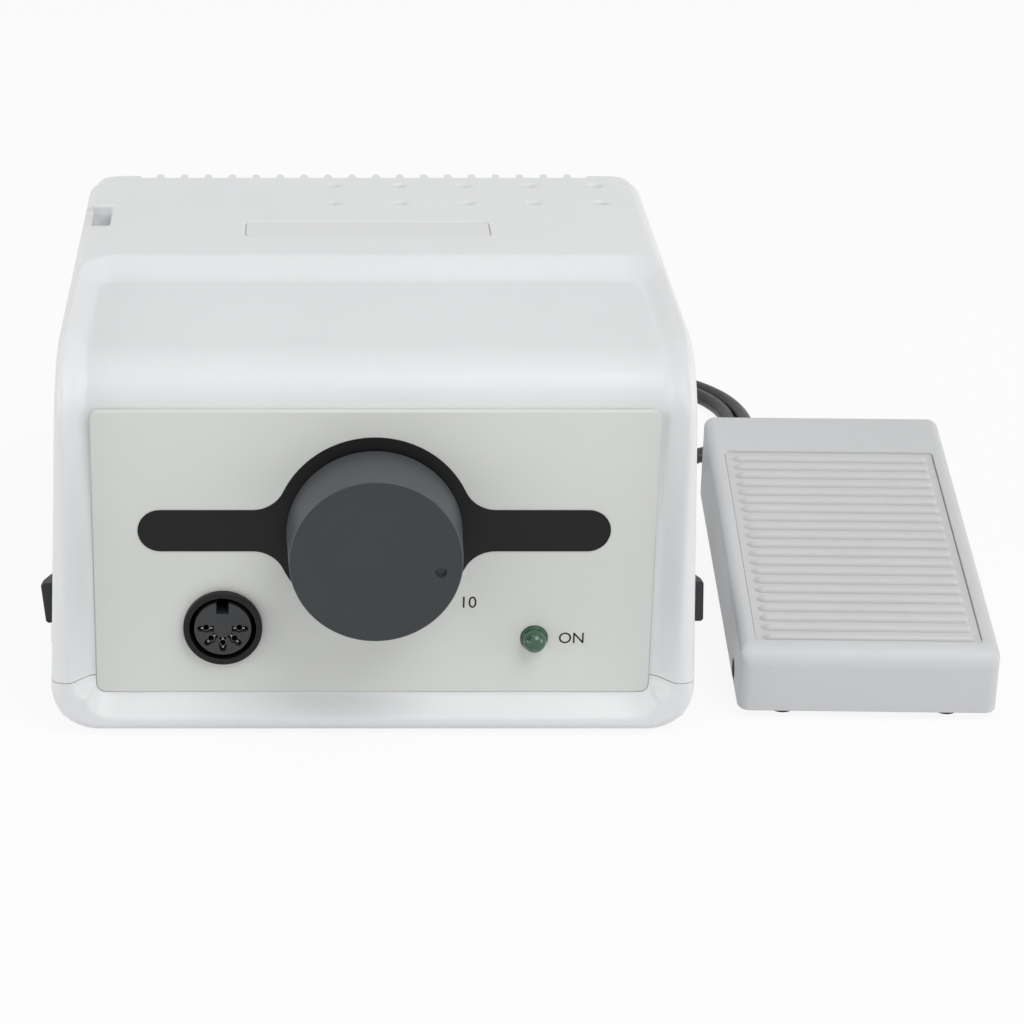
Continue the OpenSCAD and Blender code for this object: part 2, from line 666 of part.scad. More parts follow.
// Inside the box
core = [57, 24, 48];
core_x = -27;
core_y = case_d - 44;
core_leg = 19;
core_yoke = 9.5;
winding = [37, 42, 28];
module transformer_core() {
  color("dimgray") difference() {
    translate([core_x - core.x / 2, core_y - core.y / 2, floor_z]) cube(core);
    for (s = [-1, 1]) translate([core_x + s * (core_leg + core_yoke) / 2, core_y, floor_z + core.z / 2])
      cube([core_yoke, far, core.z - 2 * core_yoke], center = true);
  }
}
module transformer_winding() {
  color("peru") difference() {
    translate([core_x, core_y, floor_z + core.z / 2]) cube(winding, center = true);
    translate([core_x, core_y, floor_z + core.z / 2]) cube([core_leg + 0.4, core.y + 0.4, far], center = true);
  }
}
module main_board() { color("darkgreen") translate([board_x, board_y, board_z]) cube(board); }
board_top = board_z + board.z;
sink = [34, 14, 26];
sink_fins = 7;
sink_base = 3;
sink_y = board_y + board.y - sink.y - 2;
module heat_sink() {
  color("silver") translate([board_x + 5, sink_y, board_top]) {
    cube([sink.x, sink_base, sink.z]);
    for (i = [0:sink_fins - 1]) translate([i * (sink.x - 1.6) / (sink_fins - 1), sink_base - 0.1, 0]) cube([1.6, sink.y - sink_base, sink.z]);
  }
}
transistor = [10, 4.5, 15.5];
module power_transistor() {
  color("#222222") {
    translate([board_x + 17, sink_y - transistor.y, board_top + 3]) cube(transistor);
    for (i = [0:2]) translate([board_x + 19.1 + 2.5 * i, sink_y - 2.6, board_top]) cube([0.8, 0.6, 3.1]);
  }
}
cap_r = 8;
cap_h = 26;
module capacitors() { color("navy") for (i = [0, 1]) translate([board_x + 12 + 19 * i, board_y + 18, board_top]) cylinder(r = cap_r, h = cap_h); }
relay_size = [19, 15, 15.5];
module relay() { color("royalblue") translate([board_x + 3, board_y + 26.2, board_top]) cube(relay_size); }

// Rear wall fittings
module mains_inlet() {
  color("#161618") difference() {
    union() {
      translate([inlet_x - inlet_flange.x / 2, case_d, inlet_z - inlet_flange.y / 2]) cube([inlet_flange.x, inlet_flange.z, inlet_flange.y]);
      translate([inlet_x - inlet_w / 2, case_d - inlet_depth, inlet_z - inlet_h / 2]) cube([inlet_w, inlet_depth + 0.5, inlet_h]);
    }
    translate([inlet_x - inlet_room.x / 2, case_d + inlet_flange.z - inlet_room.z, inlet_z - inlet_room.y / 2])
      cube([inlet_room.x, far, inlet_room.y]);
  }
}
pin_size = [2, 12, 4];
module inlet_pins() {
  color("silver") for (p = [[-7, -2], [0, 2], [7, -2]])
    translate([inlet_x + p.x - pin_size.x / 2, case_d + inlet_flange.z - inlet_room.z, inlet_z + p.y - pin_size.z / 2]) cube(pin_size);
}
module fuse_holder() {
  color("#161618") translate([fuse_x, case_d, fuse_z]) rotate([90, 0, 0]) cylinder(r = fuse_r, h = fuse_l);
}
module fuse_cap() {
  color("#202022") difference() {
    translate([fuse_x, case_d + fuse_cap_l, fuse_z]) rotate([90, 0, 0]) cylinder(r = fuse_cap_r, h = fuse_cap_l);
    translate([fuse_x - far / 2, case_d + fuse_cap_l - 1.2, fuse_z - 0.6]) cube([far, far, 1.2]);
  }
}
module pedal_jack() {
  color("#1a1a1c") difference() {
    union() {
      translate([jack_x - jack_body.x / 2, case_d - wall - jack_body.y, jack_z - jack_body.z / 2]) cube(jack_body);
      translate([jack_x, case_d - wall + jack_bush_l, jack_z]) rotate([90, 0, 0]) cylinder(r = jack_bush_r, h = jack_bush_l + 1);
    }
    translate([jack_x, case_d + far / 2, jack_z]) rotate([90, 0, 0]) cylinder(r = jack_bore_r, h = far / 2 + wall + 11.5);
  }
}
module jack_nut() {
  color("silver") difference() {
    translate([jack_x, case_d + jack_nut_t, jack_z]) rotate([90, 0, 0]) cylinder(r = jack_bush_r + 1.8, h = jack_nut_t, $fn = 6);
    translate([jack_x, case_d + far, jack_z]) rotate([90, 0, 0]) cylinder(r = jack_bush_r + 0.02, h = 2 * far);
  }
}

// Pedal, drawn in its own frame with its left front corner at the origin
pedal_x = case_w / 2 + pedal_gap;
treadle_tilt = atan((treadle_rear - treadle_front) / treadle_l);
front_round = 4.5;
small_round = 2;
plan_round = 2.4;
module at_pedal() { translate([pedal_x, pedal_y, 0]) rotate([0, 0, pedal_yaw]) children(); }
module pedal_across(x0, x1) { translate([x0, 0, 0]) rotate([90, 0, 90]) linear_extrude(x1 - x0) children(); }
function pedal_top(y) = treadle_front + y * tan(treadle_tilt);
function round_box(w, l, r, t) = let (q = max(r - t, 0.2), c = t + q) concat(
  arc([w - c, c], q, -90, 0), arc([w - c, l - c], q, 0, 90),
  arc([c, l - c], q, 90, 180), arc([c, c], q, 180, 270));
// Side view of the treadle: heel in front, rounded brow, sloping plate and skirt
front_c = [front_round, pedal_top(front_round) - front_round / cos(treadle_tilt)];
rear_c = [treadle_l - small_round, pedal_top(treadle_l - small_round) - small_round / cos(treadle_tilt)];
treadle_side = concat([[0, skirt_front], [treadle_l, skirt_rear]],
  arc(rear_c, small_round, 0, 90 + treadle_tilt), arc(front_c, front_round, 90 + treadle_tilt, 180));
// The room under the treadle, bounded by the skirt and the underside of the plate
room_drop = plate_t / cos(treadle_tilt);
treadle_room = [[skirt_wall, -overlap], [treadle_l - skirt_wall, -overlap],
  [treadle_l - skirt_wall, pedal_top(treadle_l - skirt_wall) - room_drop], [skirt_wall + 3, pedal_top(skirt_wall + 3) - room_drop],
  [skirt_wall, pedal_top(skirt_wall + 3) - room_drop - 3]];
// Frame on the sloping plate: its origin is the middle of the pad, on the treadle's face
pad_mid = 39.7;
module on_plate() { translate([treadle_w / 2, pad_mid, pedal_top(pad_mid)]) rotate([treadle_tilt, 0, 0]) children(); }
nub_y = hinge_y + 16;
nub_r = 2.5;
switch_top = 13.6;
plunger_out = 1.6;
nub_z = switch_top + plunger_out + 0.2;
spring_y = 66;
spring_top = 20;
cup_r = 6.5;
module treadle() {
  color("#c3c5c9") at_pedal() difference() {
    union() {
      difference() {
        intersection() {
          pedal_across(0, treadle_w) polygon(treadle_side);
          linear_extrude(far) polygon(round_box(treadle_w, treadle_l, plan_round, 0));
        }
        intersection() {
          pedal_across(skirt_wall, treadle_w - skirt_wall) polygon(treadle_room);
          translate([0, 0, -overlap]) linear_extrude(far) polygon(round_box(treadle_w, treadle_l, plan_round, skirt_wall));
        }
      }
      translate([treadle_w / 2, nub_y, nub_z]) cylinder(r = nub_r, h = pedal_top(nub_y) - nub_z - 1);
      translate([treadle_w / 2, spring_y, spring_top]) cylinder(r = cup_r, h = pedal_top(spring_y) - spring_top - 1);
    }
    on_plate() translate([0, 0, far / 2 - pad_sink - pad_t]) cube([pad_w + 2 * seat_clear, pad_l + 2 * seat_clear, far], center = true);
    translate([-overlap, hinge_y, hinge_z]) rotate([0, 90, 0]) cylinder(r = hinge_r + run_clear, h = far);
    for (x = [-overlap, treadle_w - 0.8]) translate([x, hinge_y, hinge_z]) rotate([0, 90, 0]) cylinder(r = hinge_r + 0.9, h = 0.8 + overlap);
  }
}
pad_rib_l = pad_w - 4.4;
module treadle_pad() {
  color("#cbcccb") at_pedal() on_plate() {
    translate([0, 0, -pad_sink - pad_t / 2]) cube([pad_w, pad_l, pad_t], center = true);
    for (i = [0:pad_ribs - 1]) translate([0, (i - (pad_ribs - 1) / 2) * pad_pitch, -pad_sink - pad_t + pad_rib_r + 0.05])
      rotate([0, 90, 0]) cylinder(r = pad_rib_r, h = pad_rib_l, center = true, $fn = 24);
  }
}
base_gap = 1;
base_in = skirt_wall + base_gap;
base_floor = 4.2;
lug = [4, 7];
lug_top = hinge_z + 3.2;
wall_rear = treadle_l - base_in;
wall_t = 2.2;
base_round = 2;
wall_front = 8;
wall_top = 19;
grommet_x = 22;
grommet_z = 5.8;
grommet_r = 2.4;
collar_r = 3;
collar_t = 1;
module pedal_base() {
  color("#b9bbbf") at_pedal() difference() {
    union() {
      translate([base_in, base_in, pedal_foot_h]) linear_extrude(base_floor - pedal_foot_h)
        polygon(round_box(treadle_w - 2 * base_in, treadle_l - 2 * base_in, base_round, 0));
      for (x = [base_in, treadle_w - base_in - lug.x]) translate([x, hinge_y - lug.y / 2, base_floor - 0.5]) cube([lug.x, lug.y, lug_top - base_floor + 0.5]);
      intersection() {
        difference() {
          translate([base_in, base_in, 0]) linear_extrude(far)
            polygon(round_box(treadle_w - 2 * base_in, treadle_l - 2 * base_in, base_round, 0));
          translate([base_in + wall_t, base_in + wall_t, -overlap])
            cube([treadle_w - 2 * base_in - 2 * wall_t, treadle_l - 2 * base_in - 2 * wall_t, far]);
        }
        pedal_across(0, treadle_w)
          polygon([[0, base_floor - 0.5], [far, base_floor - 0.5], [far, wall_top], [wall_rear, wall_top], [0, wall_front]]);
      }
      translate([treadle_w / 2, spring_y, base_floor - 0.5]) cylinder(r = 3, h = 4.5);
    }
    translate([0, hinge_y, hinge_z]) rotate([0, 90, 0]) cylinder(r = hinge_r + 0.02, h = far);
    at_tabs() cylinder(r = tab_screw.y + 0.02, h = far, center = true);
    translate([grommet_x, far, grommet_z]) rotate([90, 0, 0]) cylinder(r = grommet_r + 0.02, h = far - wall_rear + wall_t + overlap);
    translate([grommet_x, wall_rear - wall_t, grommet_z]) rotate([90, 0, 0]) cylinder(r = collar_r + seat_clear, h = collar_t + seat_clear);
  }
}
module hinge_pin() { color("silver") at_pedal() translate([0.9, hinge_y, hinge_z]) rotate([0, 90, 0]) cylinder(r = hinge_r, h = treadle_w - 1.8); }
foot_disc_r = 3;
pedal_foot_in = [10, 6.2];
module pedal_feet() {
  color("#222224") at_pedal() for (x = [pedal_foot_in.x, treadle_w - pedal_foot_in.x], y = [pedal_foot_in.y, treadle_l - pedal_foot_in.y - base_in])
    translate([x, y, 0]) cylinder(r = foot_disc_r, h = pedal_foot_h);
}
switch_case = [19.8, 6.4, switch_top - base_floor];
plunger_r = 1.2;
tab_l = 33;
tab_t = 1.6;
tab_screw = [13.2, 1.2];
module foot_switch() {
  color("#1c1c1e") at_pedal() difference() {
    union() {
      translate([(treadle_w - switch_case.x) / 2, nub_y - switch_case.y / 2, base_floor]) cube(switch_case);
      translate([(treadle_w - tab_l) / 2, nub_y - switch_case.y / 2, base_floor]) cube([tab_l, switch_case.y, tab_t]);
    }
    at_tabs() cylinder(r = tab_screw.y + 0.1, h = far, center = true);
    translate([treadle_w / 2, nub_y, switch_top - 4]) cylinder(r = plunger_r + run_clear, h = far);
  }
}
module switch_plunger() { color("firebrick") at_pedal() translate([treadle_w / 2, nub_y, switch_top - 2.4]) cylinder(r = plunger_r, h = 2.4 + plunger_out); }
module at_tabs() { for (s = [-1, 1]) translate([treadle_w / 2 + s * tab_screw.x, nub_y, 0]) children(); }
module pedal_screws() {
  color("silver") at_pedal() at_tabs() {
    translate([0, 0, base_floor + tab_t]) cylinder(r = 2.4, h = 1.8);
    translate([0, 0, pedal_foot_h + 0.4]) cylinder(r = tab_screw.y, h = base_floor + tab_t - pedal_foot_h);
  }
}

// A tube along a row of points; end directions may be given where the ends have to be square
function tangent(p, i) = unit(p[min(i + 1, len(p) - 1)] - p[max(i - 1, 0)]);
function tube_ring(c, t, r, sides) = let (x = unit(cross([0, 0, 1], t)), y = cross(t, x))
  [for (k = [0:sides - 1]) let (a = 360 * (k + 0.5) / sides) c + r * (cos(a) * x + sin(a) * y)];
module tube(points, r, sides) {
  skin([for (i = [0:len(points) - 1]) tube_ring(points[i], tangent(points, i), r, sides)]);
}
// Return spring
spring_turns = 6;
spring_r = 4.6;
wire_r = 0.6;
spring_z0 = base_floor + wire_r + 0.1;
spring_z1 = spring_top - wire_r - 0.1;
module return_spring() {
  steps = 8 * spring_turns;
  color("silver") at_pedal() tube([for (i = [0:steps]) let (a = 360 * i / 8)
    [treadle_w / 2 + spring_r * cos(a), spring_y + spring_r * sin(a), spring_z0 + (spring_z1 - spring_z0) * i / steps]], wire_r, 6);
}

// The cord: from the pedal's grommet back and round behind the box, a tied coil, and on to the plug
cord_r = cord_d / 2;
cord_lie = cord_r + 0.05;
coil_lie = cord_lie + 0.9;
grommet_out = 8;
function from_pedal(p) = [pedal_x + p.x * cos(pedal_yaw) - p.y * sin(pedal_yaw), pedal_y + p.x * sin(pedal_yaw) + p.y * cos(pedal_yaw), p.z];
grommet_end = from_pedal([grommet_x, wall_rear + grommet_out, grommet_z]);
module cord_grommet() {
  color("#18181a") at_pedal() translate([grommet_x, 0, grommet_z]) rotate([-90, 0, 0]) {
    translate([0, 0, wall_rear - wall_t - 0.5]) cylinder(r = grommet_r, h = wall_t + 1);
    translate([0, 0, wall_rear]) cylinder(r1 = collar_r, r2 = cord_r + 0.3, h = grommet_out);
    translate([0, 0, wall_rear - wall_t - collar_t]) cylinder(r = collar_r, h = collar_t);
  }
}
coil_mid = [0, 179];
coil_out_r = coil_in_r + coil_pitch * coil_turns;
coil_lead = cord_d + 2;
coil_dip = 0.8;
climb = 0.5;
coil_total = 2 * coil_turns + climb;
function coil_radius(s) = s < coil_turns ? coil_out_r - coil_pitch * s
  : s > coil_turns + climb ? coil_in_r + coil_pitch * (s - coil_turns - climb)
  : coil_in_r - coil_dip * sin(180 * (s - coil_turns) / climb);
function coil_height(s) = coil_lie + coil_rise * (s < coil_turns ? 0
  : s > coil_turns + climb ? 1 : (1 - cos(180 * (s - coil_turns) / climb)) / 2);
function coil_point(s) = let (a = 270 - 360 * s)
  [coil_mid.x + coil_radius(s) * cos(a), coil_mid.y + coil_radius(s) * sin(a), coil_height(s)];
coil_steps = 24;
coil_rings = [for (i = [0:coil_total * coil_steps]) coil_point(i / coil_steps)];
coil_start = coil_rings[0] + [coil_lead, 0, 0];
coil_end = coil_rings[len(coil_rings) - 1] + [coil_lead, 0, 0];
coil_path = concat([coil_start], coil_rings, [coil_end]);
coil_gap = min([for (i = [0:len(coil_rings) - 1], j = [i + coil_steps / 2:1:len(coil_rings) - 1])
  norm(coil_rings[i] - coil_rings[j])]) - cord_d;
echo(least_gap_in_coil = coil_gap);
module cord_coil() { color("#141415") tube(coil_path, cord_r, 6); }
tie_t = 0.8;
tie_w = 8;
tie_room = [coil_in_r - coil_dip - cord_r - 0.4, coil_out_r + cord_r + 0.4];
module cord_tie() {
  color("#232325") translate([coil_mid.x, coil_mid.y - tie_w / 2, 0]) difference() {
    translate([-tie_room[1] - tie_t, 0, coil_lie - cord_r - tie_t - 0.1]) cube([tie_room[1] - tie_room[0] + 2 * tie_t, tie_w, coil_rise + cord_d + 2 * tie_t + 0.3]);
    translate([-tie_room[1], -overlap, coil_lie - cord_r - 0.1]) cube([tie_room[1] - tie_room[0], tie_w + 2 * overlap, coil_rise + cord_d + 0.3]);
  }
}
// Route from the coil's upper end, round the outer curve and down to the pedal
pedal_route = concat([coil_end], [[14, 211.1, 7.2], [24, 211.1, 6], [34, 211.1, 4.2], [43, 211.1, 2.8], [51, 211.1, 2.15],
  [59, 211.1, 2.05], [67, 211, 2.05], [76.3, 209.8, 2.05], [85, 206.2, 2.05], [92.5, 200.5, 2.05], [98.2, 193, 2.05],
  [101.8, 184.3, 2.05], [103.2, 175, 2.05], [103.7, 166, 2.05], [103.9, 157, 2.05], [103.9, 148, 2.05],
  [103.8, 139, 2.1], [103.6, 130, 2.6], [103.4, 121, 3.6], [103.2, 112, 4.9]],
  [grommet_end + 5 * [-sin(pedal_yaw), cos(pedal_yaw), 0] - [0, 0, 0.1], grommet_end]);
plug_tail = 36;
// Route from the plug down to the table, round the inner curve and back to the coil's lower end
box_route = concat([[jack_x, case_d + plug_tail, jack_z]], [[jack_x, 160, 17.9], [jack_x + 0.2, 166, 16.9],
  [jack_x + 0.8, 172, 14.7], [jack_x + 2, 178, 11.7], [jack_x + 4, 184, 8.5], [jack_x + 6.9, 190, 5.6], [54.8, 195.8, 3.5], [60, 201, 2.4], [67, 204.9, 2.05],
  [75.3, 205.7, 2.05], [83, 202.7, 2.05], [89.6, 197.6, 2.05], [94.7, 191, 2.05], [97.9, 183.3, 2.05],
  [99, 175, 2.05], [98.6, 167, 2.05], [96.6, 159.6, 2.05], [92.4, 153.2, 2.05], [86.4, 148.8, 2.05], [79, 147, 2.05],
  [70, 146.9, 2.05], [60, 146.9, 2.05], [50, 146.9, 2.05], [40, 146.9, 2.05], [30, 146.9, 2.2], [20, 146.9, 2.6],
  [12, 146.9, 2.9]], [coil_start]);
module cord_to_pedal() { color("#141415") tube(pedal_route, cord_r, 8); }
module cord_to_box() { color("#141415") tube(box_route, cord_r, 8); }
plug_r = 4.6;
plug_start = case_d - wall + jack_bush_l + 0.1;
boot_l = 12;
module pedal_plug() {
  color("#161618") translate([jack_x, 0, jack_z]) rotate([-90, 0, 0]) {
    translate([0, 0, case_d - wall - 10]) cylinder(r = jack_bore_r - 0.1, h = plug_start - case_d + wall + 10.5);
    translate([0, 0, plug_start]) cylinder(r = plug_r, h = case_d + plug_tail - boot_l - plug_start);
    translate([0, 0, case_d + plug_tail - boot_l]) cylinder(r1 = plug_r - 1, r2 = cord_r + 0.4, h = boot_l);
  }
}

// The whole stands with its footprint's middle at the origin
tip_u = pivot_u + (left_out - pivot_u) * cos(rocker_tilt) + (rocker_h / 2 - 0.5) * sin(rocker_tilt);
tip_v = (rocker_h / 2 - 0.5) * cos(rocker_tilt) - (left_out - pivot_u) * sin(rocker_tilt);
low_x = -flank_x(switch_z) - tip_u * cos(draft) + tip_v * sin(draft);
high_x = pedal_x + (treadle_w - plan_round) * cos(pedal_yaw) - (treadle_l - plan_round) * sin(pedal_yaw) + plan_round;
low_y = knob_face;
high_y = case_d + max(rib_proud, fuse_cap_l);
shift = [-(low_x + high_x) / 2, -(low_y + high_y) / 2, 0];
echo(shift = shift, coil_start = coil_start, coil_end = coil_end, grommet_end = grommet_end);
echo(knob_axis = [0, knob_back, knob_z] + shift,
  right_pivot = [flank_x(switch_z) + pivot_u * cos(draft), switch_y, switch_z + pivot_u * sin(draft)] + shift,
  left_pivot = [-flank_x(switch_z) - pivot_u * cos(draft), switch_y, switch_z + pivot_u * sin(draft)] + shift,
  hinge = from_pedal([treadle_w / 2, hinge_y, hinge_z]) + shift,
  plunger = from_pedal([treadle_w / 2, nub_y, switch_top]) + shift,
  spring_foot = from_pedal([treadle_w / 2, spring_y, base_floor]) + shift,
  bur_hole = [bur_x0, case_d - bur_rear, case_h] + shift,
  din = [din_x, panel_face - din_front, din_z] + shift,
  cradle = [cradle_x, cradle_y, case_h] + shift, inlet = [inlet_x, case_d, inlet_z] + shift,
  box_foot = [foot_in.x, foot_in.y - rim_depth, 0] + shift,
  pedal_foot = from_pedal([pedal_foot_in.x, pedal_foot_in.y, 0]) + shift);

translate(shift) {
  top_cover();
  base_housing();
  box_feet();
  case_screws();
  front_panel();
  panel_film();
  name_plate();
  speed_knob();
  knob_set_screw();
  pot_shaft();
  pot_body();
  pot_nut();
  din_shell();
  din_insert();
  din_contacts();
  din_nut();
  lamp_lens();
  lamp_holder();
  left_switch_frame();
  left_rocker();
  right_switch_frame();
  right_rocker();
  switch_terminals();
  transformer_core();
  transformer_winding();
  main_board();
  heat_sink();
  power_transistor();
  capacitors();
  relay();
  mains_inlet();
  inlet_pins();
  fuse_holder();
  fuse_cap();
  pedal_jack();
  jack_nut();
  treadle();
  treadle_pad();
  pedal_base();
  hinge_pin();
  return_spring();
  foot_switch();
  switch_plunger();
  pedal_feet();
  pedal_screws();
  cord_grommet();
  cord_to_pedal();
  cord_coil();
  cord_tie();
  cord_to_box();
  pedal_plug();
}
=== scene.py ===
"""Bench micromotor: a white control box with a grey foot pedal, dressed over its CAD frame."""
import json
import math

import bmesh
import bpy
from mathutils import Matrix, Vector


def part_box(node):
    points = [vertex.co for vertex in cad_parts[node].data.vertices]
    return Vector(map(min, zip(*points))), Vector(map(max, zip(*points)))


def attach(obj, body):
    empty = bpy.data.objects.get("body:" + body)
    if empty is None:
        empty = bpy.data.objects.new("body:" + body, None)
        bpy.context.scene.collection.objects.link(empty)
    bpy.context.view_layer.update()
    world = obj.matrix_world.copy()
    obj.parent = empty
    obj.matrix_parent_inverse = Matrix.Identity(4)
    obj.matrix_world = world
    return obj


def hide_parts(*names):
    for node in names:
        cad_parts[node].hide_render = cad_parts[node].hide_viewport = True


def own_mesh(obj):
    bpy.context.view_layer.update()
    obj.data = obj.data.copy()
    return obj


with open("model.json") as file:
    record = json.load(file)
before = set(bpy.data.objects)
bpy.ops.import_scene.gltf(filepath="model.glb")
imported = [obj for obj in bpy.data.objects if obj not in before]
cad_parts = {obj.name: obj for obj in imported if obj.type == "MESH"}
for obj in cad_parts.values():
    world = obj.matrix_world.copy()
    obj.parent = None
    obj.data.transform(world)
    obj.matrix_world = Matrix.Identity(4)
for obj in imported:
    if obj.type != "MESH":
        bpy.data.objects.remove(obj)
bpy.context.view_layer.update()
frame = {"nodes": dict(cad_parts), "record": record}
scene = bpy.context.scene

# The box's own frame is in millimetres: x 0 at its middle, y 0 at its sunk face, z 0 on the table
ROW = Matrix.Translation((-0.0326231, -0.0533, 0)) @ Matrix.Scale(0.001, 4)
PEDAL_YAW = math.radians(-1.5)
PEDAL = Matrix.Translation((78.5, 3.6, 0)) @ Matrix.Rotation(PEDAL_YAW, 4, "Z")


def row(x, y, z):
    """A point of the box's own frame as metres in the row frame."""
    return ROW @ Vector((x, y, z))


def placed(name, data):
    """A new object in the scene."""
    obj = bpy.data.objects.new(name, data)
    scene.collection.objects.link(obj)
    return obj


# -------------------- camera
def stand_camera():
    """The camera at the photograph's viewing angle."""
    data = bpy.data.cameras.new("camera")
    data.sensor_width = 36
    data.lens = 105.7
    data.shift_x = 0.2114
    data.clip_start = 0.01
    camera = placed("camera", data)
    camera.location = row(-16.32, -572.9, 292.9)
    camera.rotation_euler = (math.radians(67), 0, 0)
    scene.camera = camera


stand_camera()


# -------------------- finishes
def tone(r, g, b):
    """A colour as it shows on the screen, 0 to 255, as linear light."""
    def linear(c):
        c /= 255
        return c / 12.92 if c <= 0.04045 else ((c + 0.055) / 1.055) ** 2.4
    return (linear(r), linear(g), linear(b), 1)


def scaled(colour, k):
    """A colour made lighter or darker."""
    return tuple(min(1, c * k) for c in colour[:3]) + (1,)


class Finish:
    """One procedural material on Object coordinates, built node by node."""

    def __init__(self, name):
        self.material = bpy.data.materials.new(name)
        self.material.use_nodes = True
        self.tree = self.material.node_tree
        self.tree.nodes.clear()
        out = self.tree.nodes.new("ShaderNodeOutputMaterial")
        self.shader = self.tree.nodes.new("ShaderNodeBsdfPrincipled")
        self.tree.links.new(self.shader.outputs[0], out.inputs[0])
        self.coords = self.tree.nodes.new("ShaderNodeTexCoord").outputs["Object"]

    def node(self, kind, **settings):
        made = self.tree.nodes.new(kind)
        for key, value in settings.items():
            setattr(made, key, value)
        return made

    def link(self, a, b):
        self.tree.links.new(a, b)

    def noise(self, scale, detail=3.0, stretch=(1, 1, 1)):
        source = self.coords
        if tuple(stretch) != (1, 1, 1):
            mapping = self.node("ShaderNodeMapping")
            mapping.inputs["Scale"].default_value = stretch
            self.link(self.coords, mapping.inputs["Vector"])
            source = mapping.outputs[0]
        made = self.node("ShaderNodeTexNoise")
        made.inputs["Scale"].default_value = scale
        made.inputs["Detail"].default_value = detail
        self.link(source, made.inputs["Vector"])
        return made.outputs["Fac"]

    def waves(self, scale, direction, distortion=0.0):
        made = self.node("ShaderNodeTexWave", bands_direction=direction)
        made.inputs["Scale"].default_value = scale
        made.inputs["Distortion"].default_value = distortion
        self.link(self.coords, made.inputs["Vector"])
        return made.outputs["Fac"]

    def spread(self, value, to_low=0, to_high=1, low=0.3, high=0.7):
        made = self.node("ShaderNodeMapRange")
        for key, number in (("From Min", low), ("From Max", high), ("To Min", to_low), ("To Max", to_high)):
            made.inputs[key].default_value = number
        self.link(value, made.inputs["Value"])
        return made.outputs["Result"]

    def blend(self, factor, a, b):
        made = self.node("ShaderNodeMix", data_type="RGBA")
        self.link(factor, made.inputs[0])
        for socket, colour in ((made.inputs[6], a), (made.inputs[7], b)):
            if isinstance(colour, tuple):
                socket.default_value = colour
            else:
                self.link(colour, socket)
        return made.outputs[2]

    def colour(self, output):
        self.link(output, self.shader.inputs["Base Color"])

    def rough(self, pattern, low, high):
        self.link(self.spread(pattern, low, high), self.shader.inputs["Roughness"])

    def put(self, key, value):
        self.shader.inputs[key].default_value = value

    def bump(self, height, strength, depth_mm, under=None):
        made = self.node("ShaderNodeBump")
        made.inputs["Strength"].default_value = strength
        made.inputs["Distance"].default_value = depth_mm / 1000
        self.link(height, made.inputs["Height"])
        if under is not None:
            self.link(under, made.inputs["Normal"])
        self.link(made.outputs[0], self.shader.inputs["Normal"])
        return made.outputs[0]


def moulded(name, colour, rough, grain, depth_mm, drift, coat=0.0, strength=0.35, shine=0.5):
    """Injection-moulded plastic or rubber: spark-eroded grain, faint clouds in the colour, rubbed patches."""
    f = Finish(name)
    clouds, specks = f.noise(28, 4), f.noise(grain * 0.35, 2)
    body = f.blend(f.spread(clouds), scaled(colour, 1 - drift), scaled(colour, 1 + drift))
    f.colour(f.blend(f.spread(specks, 0, 0.5, 0.62, 0.8), body, scaled(colour, 1 - 2.5 * drift)))
    f.rough(f.noise(60), rough - 0.05, rough + 0.05)
    f.bump(f.noise(grain), strength, depth_mm)
    f.put("Specular IOR Level", shine)
    f.put("Coat Weight", coat)
    f.put("Coat Roughness", 0.25)
    return f.material


def metal(name, colour, rough, stretch):
    """Turned, drawn or plated metal: fine lines along one way and a breath of tarnish."""
    f = Finish(name)
    lines, tarnish = f.noise(2600, 3, stretch), f.noise(90, 4)
    bright, dull = scaled(colour, 1.06), scaled(colour, 0.88)
    f.colour(f.blend(f.spread(tarnish, 0, 1, 0.35, 0.75), bright, dull))
    f.rough(lines, rough - 0.06, rough + 0.08)
    f.bump(lines, 0.25, 0.01)
    f.put("Metallic", 1)
    return f.material


def laminated_steel():
    """Transformer stampings, seen as thin lacquered sheets."""
    f = Finish("core_laminations")
    sheets = f.waves(320, "Y")
    stain = f.noise(160, 4)
    lacquer = f.blend(sheets, tone(92, 88, 84), tone(58, 56, 55))
    f.colour(f.blend(f.spread(stain, 0, 0.7, 0.5, 0.75), lacquer, tone(104, 78, 58)))
    f.rough(stain, 0.35, 0.6)
    f.bump(sheets, 0.6, 0.05)
    f.put("Metallic", 0.6)
    return f.material


def winding_wrap():
    """Yellow tape wound round the transformer's bobbin."""
    f = Finish("winding_wrap")
    laps = f.waves(60, "Z", 0.4)
    wrinkle = f.noise(420, 4, (1, 1, 3))
    f.colour(f.blend(f.spread(laps, 0, 1, 0.05, 0.3), tone(148, 118, 42), tone(204, 172, 78)))
    f.rough(wrinkle, 0.25, 0.45)
    f.bump(laps, 0.3, 0.1, f.bump(wrinkle, 0.4, 0.08))
    return f.material


def circuit_board():
    """Green solder mask over copper tracks."""
    f = Finish("circuit_board")
    tracks = f.node("ShaderNodeTexBrick")
    for key, value in (("Scale", 160), ("Mortar Size", 0.012), ("Brick Width", 0.9), ("Row Height", 0.35)):
        tracks.inputs[key].default_value = value
    f.link(f.coords, tracks.inputs["Vector"])
    mask = f.blend(f.spread(f.noise(240)), tone(28, 92, 54), tone(40, 112, 66))
    f.colour(f.blend(tracks.outputs["Fac"], mask, tone(70, 148, 92)))
    f.put("Roughness", 0.32)
    f.bump(tracks.outputs["Fac"], 0.4, 0.05)
    return f.material


